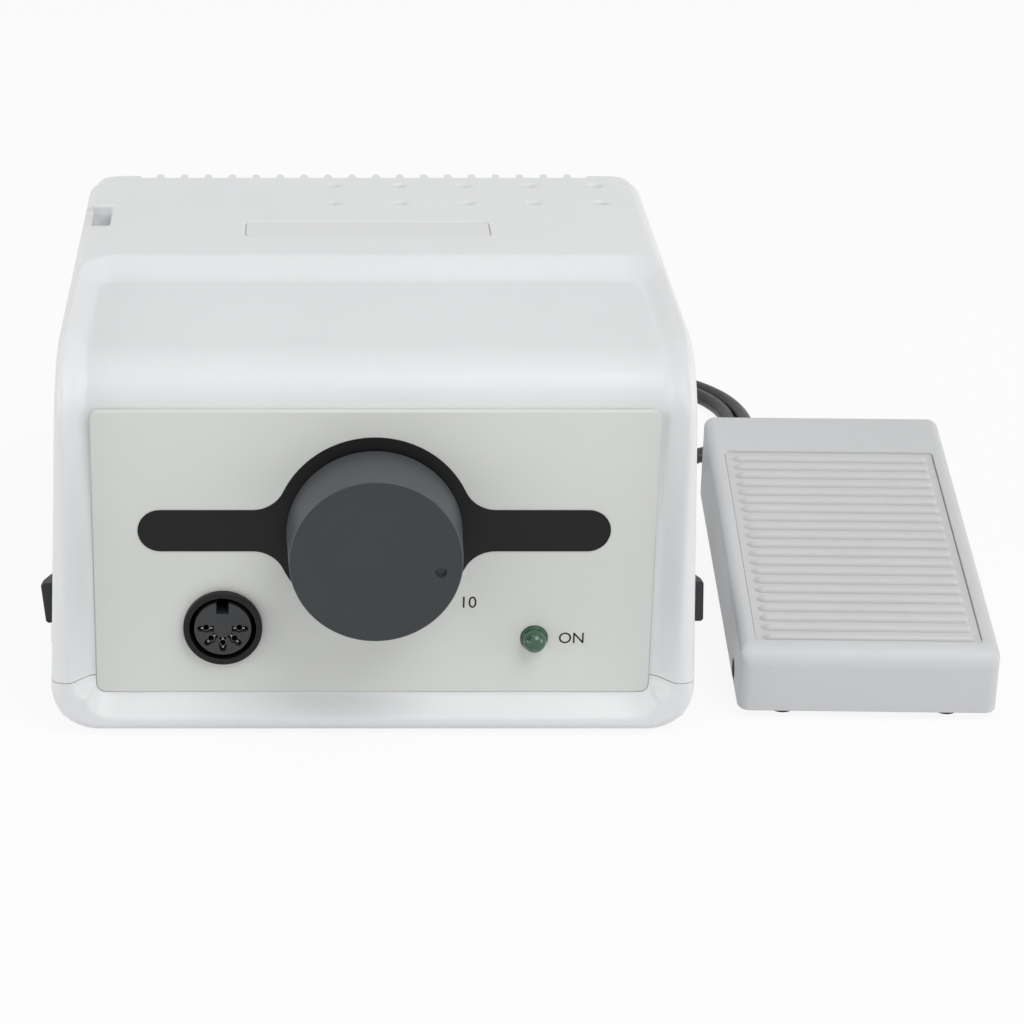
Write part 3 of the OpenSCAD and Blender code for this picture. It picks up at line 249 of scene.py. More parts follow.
def lamp_glass():
    """Tinted, slightly milky lamp lens."""
    f = Finish("lamp_glass")
    cloud = f.noise(900)
    f.colour(f.blend(f.spread(cloud), tone(40, 90, 60), tone(58, 106, 80)))
    f.rough(cloud, 0.16, 0.26)
    f.bump(cloud, 0.1, 0.02)
    f.put("Transmission Weight", 0.25)
    f.put("Coat Weight", 0.4)
    f.put("Coat Roughness", 0.12)
    return f.material


def cord_skin():
    """Black cord jacket with a fine grain and a little dust."""
    f = Finish("cord_skin")
    dust = f.noise(500, 4)
    f.colour(f.blend(f.spread(dust, 0, 1, 0.45, 0.75), tone(17, 18, 20), tone(32, 33, 35)))
    f.rough(dust, 0.34, 0.48)
    f.bump(f.noise(3000, 2), 0.2, 0.02)
    return f.material


FINISH = {
    "white_shell": moulded("shell_white", tone(227, 228, 229), 0.40, 2400, 0.02, 0.012),
    "panel_grey": moulded("panel_paint", tone(218, 220, 216), 0.46, 3200, 0.02, 0.014),
    "film_black": moulded("film_print", tone(19, 20, 21), 0.5, 3600, 0.012, 0.06, shine=0.25),
    "plate_grey": moulded("plate_satin", tone(223, 224, 224), 0.40, 3000, 0.015, 0.014),
    "knob_grey": moulded("knob_soft", tone(67, 69, 72), 0.48, 2600, 0.025, 0.03),
    # the knob's front face: a darker copy of the knob's grey, painted shade for a face that catches less light than
    # the drum's top
    "knob_face": moulded("knob_face", tone(54, 56, 59), 0.5, 2600, 0.02, 0.03, shine=0.35),
    "socket_grey": moulded("socket_grey", tone(58, 60, 62), 0.45, 2600, 0.02, 0.05, shine=0.3),
    "black_plastic": moulded("black_moulding", tone(31, 32, 34), 0.44, 2600, 0.025, 0.05),
    "socket_black": moulded("socket_black", tone(20, 21, 22), 0.42, 2600, 0.02, 0.06, shine=0.25),
    "foot_rubber": moulded("foot_rubber", tone(34, 34, 36), 0.78, 1600, 0.06, 0.06),
    "treadle_grey": moulded("treadle_grey", tone(203, 204, 205), 0.44, 2200, 0.03, 0.014),
    "pad_grey": moulded("pad_rubber", tone(205, 205, 205), 0.58, 1500, 0.05, 0.016, strength=0.5),
    "plunger_red": moulded("plunger_red", tone(168, 44, 38), 0.4, 2600, 0.02, 0.04),
    "capacitor_blue": moulded("capacitor_sleeve", tone(38, 62, 118), 0.28, 1200, 0.02, 0.06, coat=0.3),
    "tie_black": moulded("tie_weave", tone(40, 40, 43), 0.7, 1200, 0.12, 0.1, strength=0.7),
    "cord_black": cord_skin(),
    "lamp_green": lamp_glass(),
    "steel": metal("turned_steel", (0.62, 0.62, 0.63, 1), 0.32, (1, 9, 1)),
    "contact_metal": metal("plated_contacts", (0.78, 0.74, 0.66, 1), 0.24, (1, 1, 6)),
    # the socket's plated contacts in a much darker metal: painted shade for contacts sunk in the slots
    "contact_dull": metal("contacts_in_shade", (0.26, 0.25, 0.24, 1), 0.4, (1, 1, 6)),
    # near-black for the hinge pin and its caps: painted shade filling the dark hinge holes
    "pin_black": moulded("hinge_hole_painted_shade", tone(14, 15, 16), 0.65, 3000, 0.01, 0.05, shine=0.1),
    "sink_aluminium": metal("drawn_aluminium", (0.70, 0.71, 0.73, 1), 0.36, (1, 1, 12)),
    "core_steel": laminated_steel(),
    "winding_tape": winding_wrap(),
    "board_green": circuit_board(),
}


# -------------------- making pieces
def settle(obj):
    """Turns an object's modifiers into its plain mesh."""
    graph = bpy.context.evaluated_depsgraph_get()
    mesh = bpy.data.meshes.new_from_object(obj.evaluated_get(graph), preserve_all_data_layers=True,
                                           depsgraph=graph)
    obj.modifiers.clear()
    obj.data = mesh
    return obj


def raw(name, bm, place=ROW):
    """A loose object from a bmesh in millimetres, put in its place."""
    bmesh.ops.remove_doubles(bm, verts=bm.verts, dist=1e-4)
    bmesh.ops.dissolve_degenerate(bm, edges=bm.edges, dist=1e-5)
    bmesh.ops.recalc_face_normals(bm, faces=bm.faces)
    mesh = bpy.data.meshes.new(name)
    bm.transform(place)
    bm.to_mesh(mesh)
    bm.free()
    return placed(name, mesh)


def rounded(obj, width_mm, segments, angle=32):
    """Rounds an object's crisp edges."""
    bevel = obj.modifiers.new("edges", "BEVEL")
    bevel.width = width_mm / 1000
    bevel.segments = segments
    bevel.limit_method = "ANGLE"
    bevel.angle_limit = math.radians(angle)
    bevel.use_clamp_overlap = True
    return settle(obj)


def smooth(obj, angle=35):
    """Smooth shading up to an angle, weighted by face size."""
    for polygon in obj.data.polygons:
        polygon.use_smooth = True
    obj.data.set_sharp_from_angle(angle=math.radians(angle))
    weighted = obj.modifiers.new("weighted", "WEIGHTED_NORMAL")
    weighted.keep_sharp = True
    return settle(obj)


def dress(obj, body, slot, *nodes, finish=None):
    """Gives a finished piece its finish, its body and the nodes it stands for."""
    obj.data.materials.clear()
    obj.data.materials.append(FINISH[finish or slot])
    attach(obj, body)
    if nodes:
        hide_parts(*nodes)
    return obj


def copy_of(node, name, width_mm, segments):
    """The node's own shape, merged, with rounded edges."""
    bm = bmesh.new()
    bm.from_mesh(frame["nodes"][node].data)
    bmesh.ops.remove_doubles(bm, verts=bm.verts, dist=2e-6)
    bmesh.ops.dissolve_limit(bm, angle_limit=math.radians(0.6), verts=bm.verts, edges=bm.edges)
    mesh = bpy.data.meshes.new(name)
    bm.to_mesh(mesh)
    bm.free()
    return smooth(rounded(placed(name, mesh), width_mm, segments))


def dressed_copy(node, name, width_mm, segments, slot, body="stand", finish=None):
    """The node's own shape with rounded edges as a finished piece that stands for it."""
    dress(copy_of(node, name, width_mm, segments), body, slot, node, finish=finish)


def add_box(bm, low, high, turn=None):
    """A box between two corners, turned by a matrix if one is given."""
    low, high = Vector(low), Vector(high)
    place = Matrix.Translation((low + high) / 2) @ Matrix.Diagonal((*(high - low), 1))
    bmesh.ops.create_cube(bm, size=1, matrix=turn @ place if turn else place)


def add_lathe(bm, profile, place, steps):
    """Turns a profile of (radius, height) round the Z axis; closes it where it meets the axis."""
    angles = [2 * math.pi * i / steps for i in range(steps)]
    rings = []
    for radius, height in profile:
        if radius < 1e-6:
            rings.append([bm.verts.new(place @ Vector((0, 0, height)))])
        else:
            rings.append([bm.verts.new(place @ Vector((radius * math.cos(a), radius * math.sin(a), height)))
                          for a in angles])
    for lower, upper in zip(rings, rings[1:]):
        for i in range(steps):
            j, corners = i + 1, []
            for v in (lower[i % len(lower)], lower[j % len(lower)], upper[j % len(upper)], upper[i % len(upper)]):
                if v not in corners:
                    corners.append(v)
            if len(corners) > 2:
                bm.faces.new(corners)


def facing(x, y, z, towards):
    """Stands a lathe's axis along -Y ("front"), +Y ("rear"), +X ("right") or -X ("left") at a point."""
    quarter, axis = {"front": (1, "X"), "rear": (-1, "X"), "right": (1, "Y"), "left": (-1, "Y")}[towards]
    return Matrix.Translation((x, y, z)) @ Matrix.Rotation(quarter * math.pi / 2, 4, axis)


def arc(cx, cy, r, a0, a1, steps):
    """Points of an arc, in degrees, ends included."""
    angles = [math.radians(a0 + (a1 - a0) * i / steps) for i in range(steps + 1)]
    return [(cx + r * math.cos(a), cy + r * math.sin(a)) for a in angles]


def round_outline(x0, y0, x1, y1, r, inset):
    """A rounded rectangle, always with the same number of points, and its outward directions."""
    r = max(r - inset, 0.02)
    x0, y0, x1, y1 = x0 + inset, y0 + inset, x1 - inset, y1 - inset
    points = []
    corners = [(x1 - r, y0 + r, -90), (x1 - r, y1 - r, 0), (x0 + r, y1 - r, 90), (x0 + r, y0 + r, 180)]
    for k, (cx, cy, a0) in enumerate(corners):
        angles = [math.radians(a0 + 9 * i) for i in range(11)]
        bend = [(cx + r * math.cos(a), cy + r * math.sin(a), a) for a in angles]
        points += bend
        nx, ny, na = corners[(k + 1) % 4]
        ex, ey, ea = bend[-1]
        a = math.radians(na)
        sx, sy = nx + r * math.cos(a), ny + r * math.sin(a)
        for i in range(1, 13):
            points.append((ex + (sx - ex) * i / 13, ey + (sy - ey) * i / 13, ea))
    return points


def stitch(bm, rings, caps=True):
    """Joins rings of equally many points by faces, and closes the first and the last one."""
    n = len(rings[0])
    for a, b in zip(rings, rings[1:]):
        for i in range(n):
            bm.faces.new((a[i], a[(i + 1) % n], b[(i + 1) % n], b[i]))
    if caps:
        bm.faces.new(rings[0])
        bm.faces.new(rings[-1])


def add_funnel(bm, box, r, levels, place=Matrix()):
    """A closed block whose plan is a rounded rectangle, with its own inset at each height."""
    stitch(bm, [[bm.verts.new(place @ Vector((x, y, z))) for x, y, _ in round_outline(*box, r, inset)]
                for z, inset in levels])


def repeat_tree():
    """Geometry Nodes: the object's own mesh again and again, each a step and a turn after the last."""
    tree = bpy.data.node_groups.new("repeat_piece", "GeometryNodeTree")
    for name, kind in (("Geometry", "Geometry"), ("Count", "Int"), ("Start", "Vector"), ("Step", "Vector"),
                       ("Turn", "Vector"), ("Finish", "Material")):
        tree.interface.new_socket(name, in_out="INPUT", socket_type="NodeSocket" + kind)
    tree.interface.new_socket("Geometry", in_out="OUTPUT", socket_type="NodeSocketGeometry")
    new = tree.nodes.new
    source, target = new("NodeGroupInput"), new("NodeGroupOutput")
    line = new("GeometryNodeMeshLine")
    line.mode = "OFFSET"
    index = new("GeometryNodeInputIndex")
    turn = new("ShaderNodeVectorMath")
    turn.operation = "SCALE"
    place = new("GeometryNodeInstanceOnPoints")
    real = new("GeometryNodeRealizeInstances")
    paint = new("GeometryNodeSetMaterial")
    link = tree.links.new
    link(source.outputs["Count"], line.inputs["Count"])
    link(source.outputs["Start"], line.inputs["Start Location"])
    link(source.outputs["Step"], line.inputs["Offset"])
    link(source.outputs["Turn"], turn.inputs[0])
    link(index.outputs[0], turn.inputs["Scale"])
    link(line.outputs["Mesh"], place.inputs["Points"])
    link(source.outputs["Geometry"], place.inputs["Instance"])
    link(turn.outputs[0], place.inputs["Rotation"])
    link(place.outputs[0], real.inputs[0])
    link(real.outputs[0], paint.inputs["Geometry"])
    link(source.outputs["Finish"], paint.inputs["Material"])
    link(paint.outputs[0], target.inputs[0])
    return tree


REPEAT = repeat_tree()


def repeated(obj, count, slot, start=(0, 0, 0), step=(0, 0, 0), turn=(0, 0, 0)):
    """Repeats an object's mesh by the tree, in millimetres and radians, and settles it."""
    modifier = obj.modifiers.new("repeat", "NODES")
    modifier.node_group = REPEAT
    keys = {item.name: item.identifier for item in REPEAT.interface.items_tree if item.in_out == "INPUT"}
    for key, value in (("Count", count), ("Start", start), ("Step", step), ("Turn", turn), ("Finish", FINISH[slot])):
        modifier[keys[key]] = value
    obj.update_tag()
    return settle(obj)


def cut(obj, cutter):
    """Cuts one closed object with another, which is then gone."""
    boolean = obj.modifiers.new("cut", "BOOLEAN")
    boolean.operation = "DIFFERENCE"
    boolean.solver = "MANIFOLD"
    boolean.object = cutter
    settle(obj)
    bpy.data.objects.remove(cutter)
    return obj


# -------------------- cord
COIL_MID = (0, 179)
COIL_LOW, COIL_HIGH, COIL_PITCH = 2.95, 7.45, 4.6
COIL_TURNS = 7.5
TREAD_W, TREAD_L = 55.2, 92.0
JACK_X, JACK_Z = 44, 18


def coil_point(s):
    """A point of the tied coil after s turns: inwards along the table, up, and outwards on top."""
    if s < 3.5:
        radius, height = 32.1 - COIL_PITCH * s, COIL_LOW
    elif s > 4:
        radius, height = 16 + COIL_PITCH * (s - 4), COIL_HIGH
    else:
        rise = math.pi * (s - 3.5) / 0.5
        radius = 16 - 0.8 * math.sin(rise)
        height = COIL_LOW + (COIL_HIGH - COIL_LOW) * (1 - math.cos(rise)) / 2
    a = math.radians(270 - 360 * s)
    return (COIL_MID[0] + radius * math.cos(a), COIL_MID[1] + radius * math.sin(a), height)


GROMMET_END = (103.026, 99.7909, 5.8)
PEDAL_ROUTE = [GROMMET_END, (103.13, 104.79, 5.7), (103.2, 112, 4.9), (103.4, 121, 3.6), (103.6, 130, 2.6),
               (103.85, 142, 2.07), (103.9, 157, 2.05), (103.2, 175, 2.05), (101.8, 184.3, 2.05), (98.2, 193, 2.05),
               (92.5, 200.5, 2.05), (85, 206.2, 2.05), (76.3, 209.8, 2.05), (67, 211, 2.05), (51, 211.1, 2.15),
               (34, 211.1, 4.2), (14, 211.1, 7.2)]
BOX_ROUTE = [(20, 146.9, 2.6), (40, 146.9, 2.05), (60, 146.9, 2.05), (79, 147, 2.05), (86.4, 148.8, 2.05),
             (92.4, 153.2, 2.05), (96.6, 159.6, 2.05), (98.6, 167, 2.05), (99, 175, 2.05), (97.9, 183.3, 2.05),
             (94.7, 191, 2.05), (89.6, 197.6, 2.05), (83, 202.7, 2.05), (75.3, 205.7, 2.05), (67, 204.9, 2.05),
             (60, 201, 2.4), (54.8, 195.8, 3.5), (50.9, 190, 5.6), (48, 184, 8.5), (46, 178, 11.7),
             (44.8, 172, 14.7), (44.2, 166, 16.9), (44, 155.4, 18)]


def lay_cord():
    """The pedal's cord: from its grommet round behind the box, through the coil and up to its plug."""
    turns = [coil_point(COIL_TURNS - i / 16) for i in range(int(COIL_TURNS * 16) + 1)]
    coil_in, coil_out = (6, 211.1, COIL_HIGH), (6, 146.9, COIL_LOW)
    points = [row(*p) for p in PEDAL_ROUTE + [coil_in] + turns + [coil_out] + BOX_ROUTE]
    data = bpy.data.curves.new("pedal_cord", "CURVE")
    data.dimensions = "3D"
    data.bevel_depth = 0.002
    data.bevel_resolution = 4
    data.resolution_u = 6
    data.use_fill_caps = True
    spline = data.splines.new("BEZIER")
    spline.bezier_points.add(len(points) - 1)
    length = 0
    for i, (bezier, here) in enumerate(zip(spline.bezier_points, points)):
        before, after = points[max(i - 1, 0)], points[min(i + 1, len(points) - 1)]
        way = (after - before).normalized()
        bezier.co = here
        bezier.handle_left_type = bezier.handle_right_type = "FREE"
        bezier.handle_left = here - way * (here - before).length / 3
        bezier.handle_right = here + way * (after - here).length / 3
        length += (here - before).length
    cord = placed("pedal_cord", data)
    data.materials.append(FINISH["cord_black"])
    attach(cord, "stand")
    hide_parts("cord_to_pedal", "cord_coil", "cord_to_box")
    return cord, length


def strain_relief(start, radius, fall, first, gap, lip):
    """The profile of a sleeve's five ring ribs; from its start the sleeve's radius falls along its length."""
    out = []
    for i in range(5):
        h = first + gap * i
        r = radius - (h - start) * fall
        out += [(r, h), (r + lip, h + 0.25), (r + lip, h + gap * 0.5), (r, h + gap * 0.5 + 0.25)]
    return out


def make_plug():
    """The plug in the box's rear jack: shank, grip with rings, and a ribbed tapering boot."""
    bm = bmesh.new()
    profile = [(0, 106), (2.9, 106), (2.9, 121.6), (4.2, 121.6), (4.6, 122.0)]
    for i in range(7):
        h = 126 + 1.6 * i
        profile += [(4.6, h), (4.35, h + 0.2), (4.35, h + 0.7), (4.6, h + 0.9)]
    profile += [(4.6, 141.8), (4.0, 142.4)] + strain_relief(142.4, 3.6, 1.2 / 12, 143.0, 2.1, 0.35)
    profile += [(2.45, 154.1), (2.2, 154.4), (0, 154.4)]
    add_lathe(bm, profile, facing(JACK_X, 1, JACK_Z, "rear"), 48)
    return dress(smooth(raw("cord_plug", bm), 50), "stand", "black_plastic", "pedal_plug")


def make_grommet():
    """The strain relief in the pedal's rear wall."""
    bm = bmesh.new()
    wall = TREAD_L - 3.2
    end = wall + 13
    profile = [(0, wall - 3.2), (2.8, wall - 3.2), (3.0, wall - 3.0), (3.0, wall - 2.2), (2.4, wall - 2.2),
               (2.4, wall)]
    profile += strain_relief(wall, 3.0, 0.7 / 13, wall + 0.1, 2.4, 0.0)
    profile = [p for p in profile if p[1] < end - 0.6] + [(2.3, end - 0.3), (2.1, end), (0, end)]
    add_lathe(bm, profile, PEDAL @ facing(22, 0, 5.8, "rear"), 40)
    dress(smooth(raw("cord_sleeve", bm), 50), "stand", "black_plastic", "cord_grommet")


def make_tie():
    """The tie round the coil: a flat closed band with rounded bends."""
    bm = bmesh.new()
    x0, x1, z0, z1, r = -34.9, -12.4, 0.45, 9.75, 1.6
    thick, wide = 0.38, 3.9
    mid = (arc(x1 - r, z1 - r, r, 90, 0, 6) + arc(x1 - r, z0 + r, r, 0, -90, 6)
           + arc(x0 + r, z0 + r, r, -90, -180, 6) + arc(x0 + r, z1 - r, r, 180, 90, 6))
    rings = []
    for i, (x, z) in enumerate(mid):
        ax, az = mid[i - 1]
        bx, bz = mid[(i + 1) % len(mid)]
        way = Vector((bx - ax, bz - az)).normalized()
        out = Vector((-way.y, way.x))
        rings.append([bm.verts.new((x + out.x * side, COIL_MID[1] + y, z + out.y * side))
                      for side, y in ((thick, -wide), (thick, wide), (-thick, wide), (-thick, -wide))])
    stitch(bm, rings + rings[:1], caps=False)
    tie = rounded(raw("coil_tie", bm), 0.15, 2, 40)
    return dress(smooth(tie), "stand", "tie_black", "cord_tie")


pedal_cord, cord_length = lay_cord()
cord_plug = make_plug()
coil_tie = make_tie()
make_grommet()


# -------------------- control box: case
FLOOR, SEAM, ROOF, REAR = 1.0, 12.3, 86.4, 119.4
RIM = 4.4  # the rim stands this far before the sunk face
WALL, FACE_WALL = 2.4, 4.0
EDGE, LOW_RIM = 3.2, 1.8  # edge rounding along the flanks, and at the face's foot
LOW_EDGE, REAR_EDGE, NO_EDGE = 2.0, 0.8, 0.05
REAR_R, FOOT_R = 8, 10.3  # corners seen from above and from the front
BROW_Y, BROW_Z, BROW_R = 12, 70, 16.4
ROLL_IN = 0.9  # how far the face rolls in above the panel
RAMP_X, RAMP_Y, RAMP_Z = (59.8, 4.0), (53.5, 5.244), (8.0, 4.0)  # where a ramp up to the rim starts, and its length
FLAT, FLANK_IN = (0, 12, 24, 34, 42, 48, 52, 54.5, 56.5, 57.8), 12.6
WIDEST, WIDEST_Z, LEAN = 68, 10.3, math.radians(2.257)
SWITCH_Y, SWITCH_Z = 15, 23.5
INLET_X, FUSE_X, MAINS_Z = -36, -4, 27


def flank(z):
    """Half the case's width at a height: the flanks lean in towards the roof."""
    return WIDEST - (z - WIDEST_Z) * math.tan(LEAN)


def soft_step(t, foot, crest):
    """A ramp from 0 to 1 with its two bends rounded."""
    def bend(t, h):
        return 0 if t < -h else (t + h) ** 2 / (4 * h) if t < h else t
    return bend(t, foot) - bend(t - 1, crest)


def sunk_depth(x, zone, y, z):
    """How far the forehead and the face are sunk below the rim at a place."""
    u = (abs(x) - RAMP_X[0]) / RAMP_X[1]
    if zone in ("roof", "brow"):
        v = (y - RAMP_Y[0]) / RAMP_Y[1]
    elif zone in ("face", "chin"):
        v = (RAMP_Z[0] - z) / RAMP_Z[1]
    else:
        return 0
    rho = 1.1 if zone == "roof" else 1.5
    if u > -rho and v > -rho:
        t = math.hypot(u + rho, v + rho) - rho
    else:
        t = max(u, v)
    roll = 0
    if zone == "brow":
        roll = ROLL_IN * min(max((83 - z) / 11, 0), 1) ** 2
    elif zone == "face":
        roll = ROLL_IN * min(max((z - 40) / 30, 0), 1)
    return (RIM + roll) * (1 - soft_step(t, 0.26, 0.12))


def side_stations():
    """The case's outline seen from its side: zone, y, z, outward direction, edge rounding and wall there."""
    out = []

    def run(zone, a, b, outward, stops, edge, wall):
        for k in stops:
            out.append((zone, a[0] + (b[0] - a[0]) * k, a[1] + (b[1] - a[1]) * k, outward, edge, wall))

    def bend(zone, cy, cz, r, a0, a1, steps, edges, walls):
        for i in range(1, steps):
            k = i / steps
            a = math.radians(a0 + (a1 - a0) * k)
            out.append((zone, cy + r * math.cos(a), cz + r * math.sin(a), (math.cos(a), math.sin(a)),
                        edges[0] + (edges[1] - edges[0]) * k, walls[0] + (walls[1] - walls[0]) * k))

    def spaced(first, last, stops):
        return [(stop - first) / (last - first) for stop in [first] + stops + [last]]

    top, high = REAR - REAR_EDGE, ROOF - REAR_EDGE
    low, chin, heel = FLOOR + LOW_EDGE, LOW_EDGE - RIM, REAR - LOW_EDGE
    stops = [low + 0.8 * i for i in range(1, 11)] + [14, 20, 30, 42, 54, 66, 76, 82]
    run("rear", (REAR, low), (REAR, high), (1, 0), spaced(low, high, stops), NO_EDGE, WALL)
    bend("rear", top, high, REAR_EDGE, 0, 90, 6, (NO_EDGE, EDGE), (WALL, WALL))
    stops = [top - 0.7 * i for i in range(1, 11)] + [109, 106, 102, 96, 90, 84, 78, 72, 68, 65, 63, 62, 61]
    stops += [60.4 - 0.4 * i for i in range(26)] + [49, 47, 45, 42, 38, 33, 28, 23, 18, 15]
    run("roof", (top, ROOF), (BROW_Y, ROOF), (0, 1), spaced(top, BROW_Y, stops), EDGE, WALL)
    bend("brow", BROW_Y, BROW_Z, BROW_R, 90, 180, 28, (EDGE, EDGE), (WALL, FACE_WALL))
    stops = [66, 60, 54, 48, 42, 36, 30, 24, 20, 17, 15] + [14 - 0.35 * i for i in range(31)]
    for k in spaced(BROW_Z, low, stops):
        z = BROW_Z + (low - BROW_Z) * k
        edge = LOW_RIM + (EDGE - LOW_RIM) * min((z - low) / 12, 1)
        run("face", (-RIM, z), (-RIM, z), (-1, 0), [0], edge, FACE_WALL)
    bend("chin", chin, low, LOW_EDGE, 180, 270, 10, (LOW_RIM, NO_EDGE), (FACE_WALL, WALL))
    stops = [2, 6, 12, 20, 30, 42, 54, 66, 78, 90, 100, 106, 110] + [111.4 + 0.7 * i for i in range(7)]
    run("floor", (chin, FLOOR), (heel, FLOOR), (0, -1), spaced(chin, heel, stops), NO_EDGE, WALL)
    bend("floor", heel, low, LOW_EDGE, 270, 360, 8, (NO_EDGE, NO_EDGE), (WALL, WALL))
    return out


def corner_map(a, b):
    """Bends a square corner round: a and b are how far a point is inside the corner's square."""
    if a <= 0 or b <= 0:
        return a, b
    k = max(a, b) / math.hypot(a, b)
    return a * k, b * k


def case_skin(name, walls):
    """The whole case as one closed skin, or with walls the room inside it."""
    stations = side_stations()
    side_wall = WALL if walls else 0
    columns = [("flat", x) for x in FLAT]
    columns += [("rim", (i + 1) / 16) for i in range(16)]
    columns += [("edge", 90 * (i + 1) / 10) for i in range(10)]
    columns += [("flank", (i + 1) / 14) for i in range(14)]
    ordered = [(-1, c) for c in reversed(columns[1:])] + [(1, c) for c in columns]
    bm = bmesh.new()
    grid = []
    for sign, (kind, value) in ordered:
        line = []
        for zone, y, z, (ny, nz), edge, wall in stations:
            inset = wall if walls else 0
            half = flank(z) - side_wall
            edge = max(NO_EDGE, edge - inset) if walls else edge
            start = half - edge
            sink = 0
            if kind == "flat":
                x = value
            elif kind == "rim":
                x = FLAT[-1] + (start - FLAT[-1]) * value
            elif kind == "edge":
                x = start + edge * math.sin(math.radians(value))
                sink = edge * (1 - math.cos(math.radians(value)))
            else:
                x = half
                sink = edge + (FLANK_IN - edge) * value
            depth = inset + sink + (sunk_depth(x, zone, y, z) if kind != "flank" else
                                    sunk_depth(half, zone, y, z) * (1 - value))
            py, pz = y - ny * depth, z - nz * depth
            if kind == "flank" and zone != "brow":
                low_y, high_y = depth - RIM, REAR - depth
                low_z, high_z = FLOOR + depth, ROOF - depth
                py, pz = min(max(py, low_y), high_y), min(max(pz, low_z), high_z)
            if kind in ("edge", "flank"):
                x = flank(pz) - side_wall - (half - x)
            wide = flank(pz)
            a, b = corner_map(x - (wide - REAR_R), py - (REAR - REAR_R))
            x, py = wide - REAR_R + a, REAR - REAR_R + b
            a, b = corner_map(x - (wide - FOOT_R), FLOOR + FOOT_R - pz)
            x, pz = wide - FOOT_R + a, FLOOR + FOOT_R - b
            line.append(bm.verts.new((sign * x, py, pz)))
        grid.append(line)
    n = len(stations)
    for left, right in zip(grid, grid[1:]):
        for i in range(n):
            j = (i + 1) % n
            bm.faces.new((left[i], right[i], right[j], left[j]))
    bm.faces.new(grid[0])
    bm.faces.new(grid[-1][::-1])
    return raw(name, bm)


BUR_X = [-7.4 + 15.49 * i for i in range(5)]
BUR_Y = (111.6, 97.6)
PLATE_Y = 77.3
POCKET = (-63.1, 80.35, -58.6, 96.25)


def case_cutters(above):
    """What is cut out of one half of the case, in groups that don't overlap."""
    half, mouths, behind = bmesh.new(), bmesh.new(), bmesh.new()
    if above:
        add_box(half, (-90, -40, -20), (90, 160, SEAM + 0.09))
        bore = [(0, -10), (1.25, -10), (1.25, -1.5), (1.31, -1.2), (1.46, -0.86), (1.7, -0.5), (2.0, -0.2),
                (2.35, 0), (2.35, 2), (0, 2)]
        for x in BUR_X:
            for y in BUR_Y:
                add_lathe(mouths, bore, Matrix.Translation((x, y, ROOF)), 28)
        add_box(mouths, (-53.2, REAR - 2.2, 52), (53.2, 150, 120))
        add_funnel(mouths, (-27.6, PLATE_Y - 5.7, 27.6, PLATE_Y + 5.7), 2.1,
                   [(85.8, 0), (86.05, 0), (86.2, -0.06), (86.32, -0.16), (ROOF, -0.36), (90, -0.36)])
        add_funnel(mouths, POCKET, 0.8,
                   [(80.6, 0.3), (80.9, 0), (85.4, 0), (85.8, -0.08), (86.15, -0.3), (ROOF, -0.7), (90, -0.7)])
        add_box(behind, (-90, POCKET[1], 84.2), (-62.9, POCKET[3], 90))
    else:
        add_box(half, (-90, -40, SEAM - 0.09), (90, 160, 130))
    # panel pocket, and the window behind it
    add_funnel(mouths, (-58.55, 8.35, 58.55, 72.25), 2.05, [(-1.6, 0), (20, 0)], facing(0, 0, 0, "front"))
    add_box(behind, (-50, 1, 12.5), (50, 5, 66))
    # rear fittings
    add_box(mouths, (INLET_X - 13.6, 110, MAINS_Z - 10.1), (INLET_X + 13.6, 125, MAINS_Z + 10.1))
    for r, x, z in ((6.3, FUSE_X, MAINS_Z), (4.1, JACK_X, JACK_Z)):
        add_lathe(mouths, [(0, -12), (r, -12), (r, 6), (0, 6)], facing(x, REAR, z, "rear"), 40)
    # side switches
    for side in (-1, 1):
        place = Matrix.Translation((side * flank(SWITCH_Z), SWITCH_Y, SWITCH_Z))
        add_box(mouths, (-8, -4.8, -7.1), (8, 4.8, 7.1), place @ Matrix.Rotation(-side * LEAN, 4, "Y"))
    return [raw("cutter", bm) for bm in (half, mouths, behind)]


def case_half(name, above):
    """The cover or the base: the hollow case on one side of the seam, with its openings."""
    shell = case_skin(name, False)
    room = case_skin("room", True)
    blocks = bmesh.new()
    if above:
        add_box(blocks, (BUR_X[0] - 4, 93.9, 74), (BUR_X[-1] + 4, 115.5, 100))
        add_box(blocks, (-70, 77.9, 76), (-56.2, 98.7, 100))
        add_box(blocks, (-56, REAR - 4, 49.6), (56, 130, 100))
    for x in (-54, 54):
        for y in (36, REAR - 18):
            add_lathe(blocks, [(0, -5), (3.6, -5), (3.6, 100), (0, 100)], Matrix.Translation((x, y, 0)), 28)
    cut(room, raw("blocks", blocks))
    cut(shell, room)
    for cutter in case_cutters(above):
        cut(shell, cutter)
    return shell


dress(smooth(case_half("cover_shell", True), 38), "stand", "white_shell", "top_cover")
dress(smooth(case_half("base_shell", False), 38), "stand", "white_shell", "base_housing")


def make_rear_ribs():
    """The row of finger ribs along the cover's rear edge, tapering out and rounded."""
    bm = bmesh.new()
    foot, tip = REAR - 2.2, REAR + 1.1
    y0 = foot - 0.4
    section = [(1.3, y0), (1.3, foot), (1.1, foot + 0.3)]
    section += [(0.4 + 0.35 * math.cos(a), tip - 0.35 + 0.35 * math.sin(a)) for a in (0, 0.5, 1.05, math.pi / 2)]
    section += [(-x, y) for x, y in reversed(section)]
    levels = [(52, 1.0, 0), (52.05, 1.0, 0), (85.9, 1.0, 0), (86.2, 0.96, 0.1), (86.34, 0.86, 0.35)]
    stitch(bm, [[bm.verts.new((x * k, y - back if y > foot + 1 else y, z)) for x, y in section]
                for z, k, back in levels])
    gap = 5.71
    ribs = repeated(raw("rear_ribs", bm, Matrix()), 18, "white_shell", (-8.5 * gap, 0, 0), (gap, 0, 0))
    ribs.data.transform(ROW)
    dress(smooth(ribs, 40), "stand", "white_shell")


make_rear_ribs()


# -------------------- control box: front
KNOB_Z = 45.7
SOCKET_X, SOCKET_Z = -31.6, 23.8


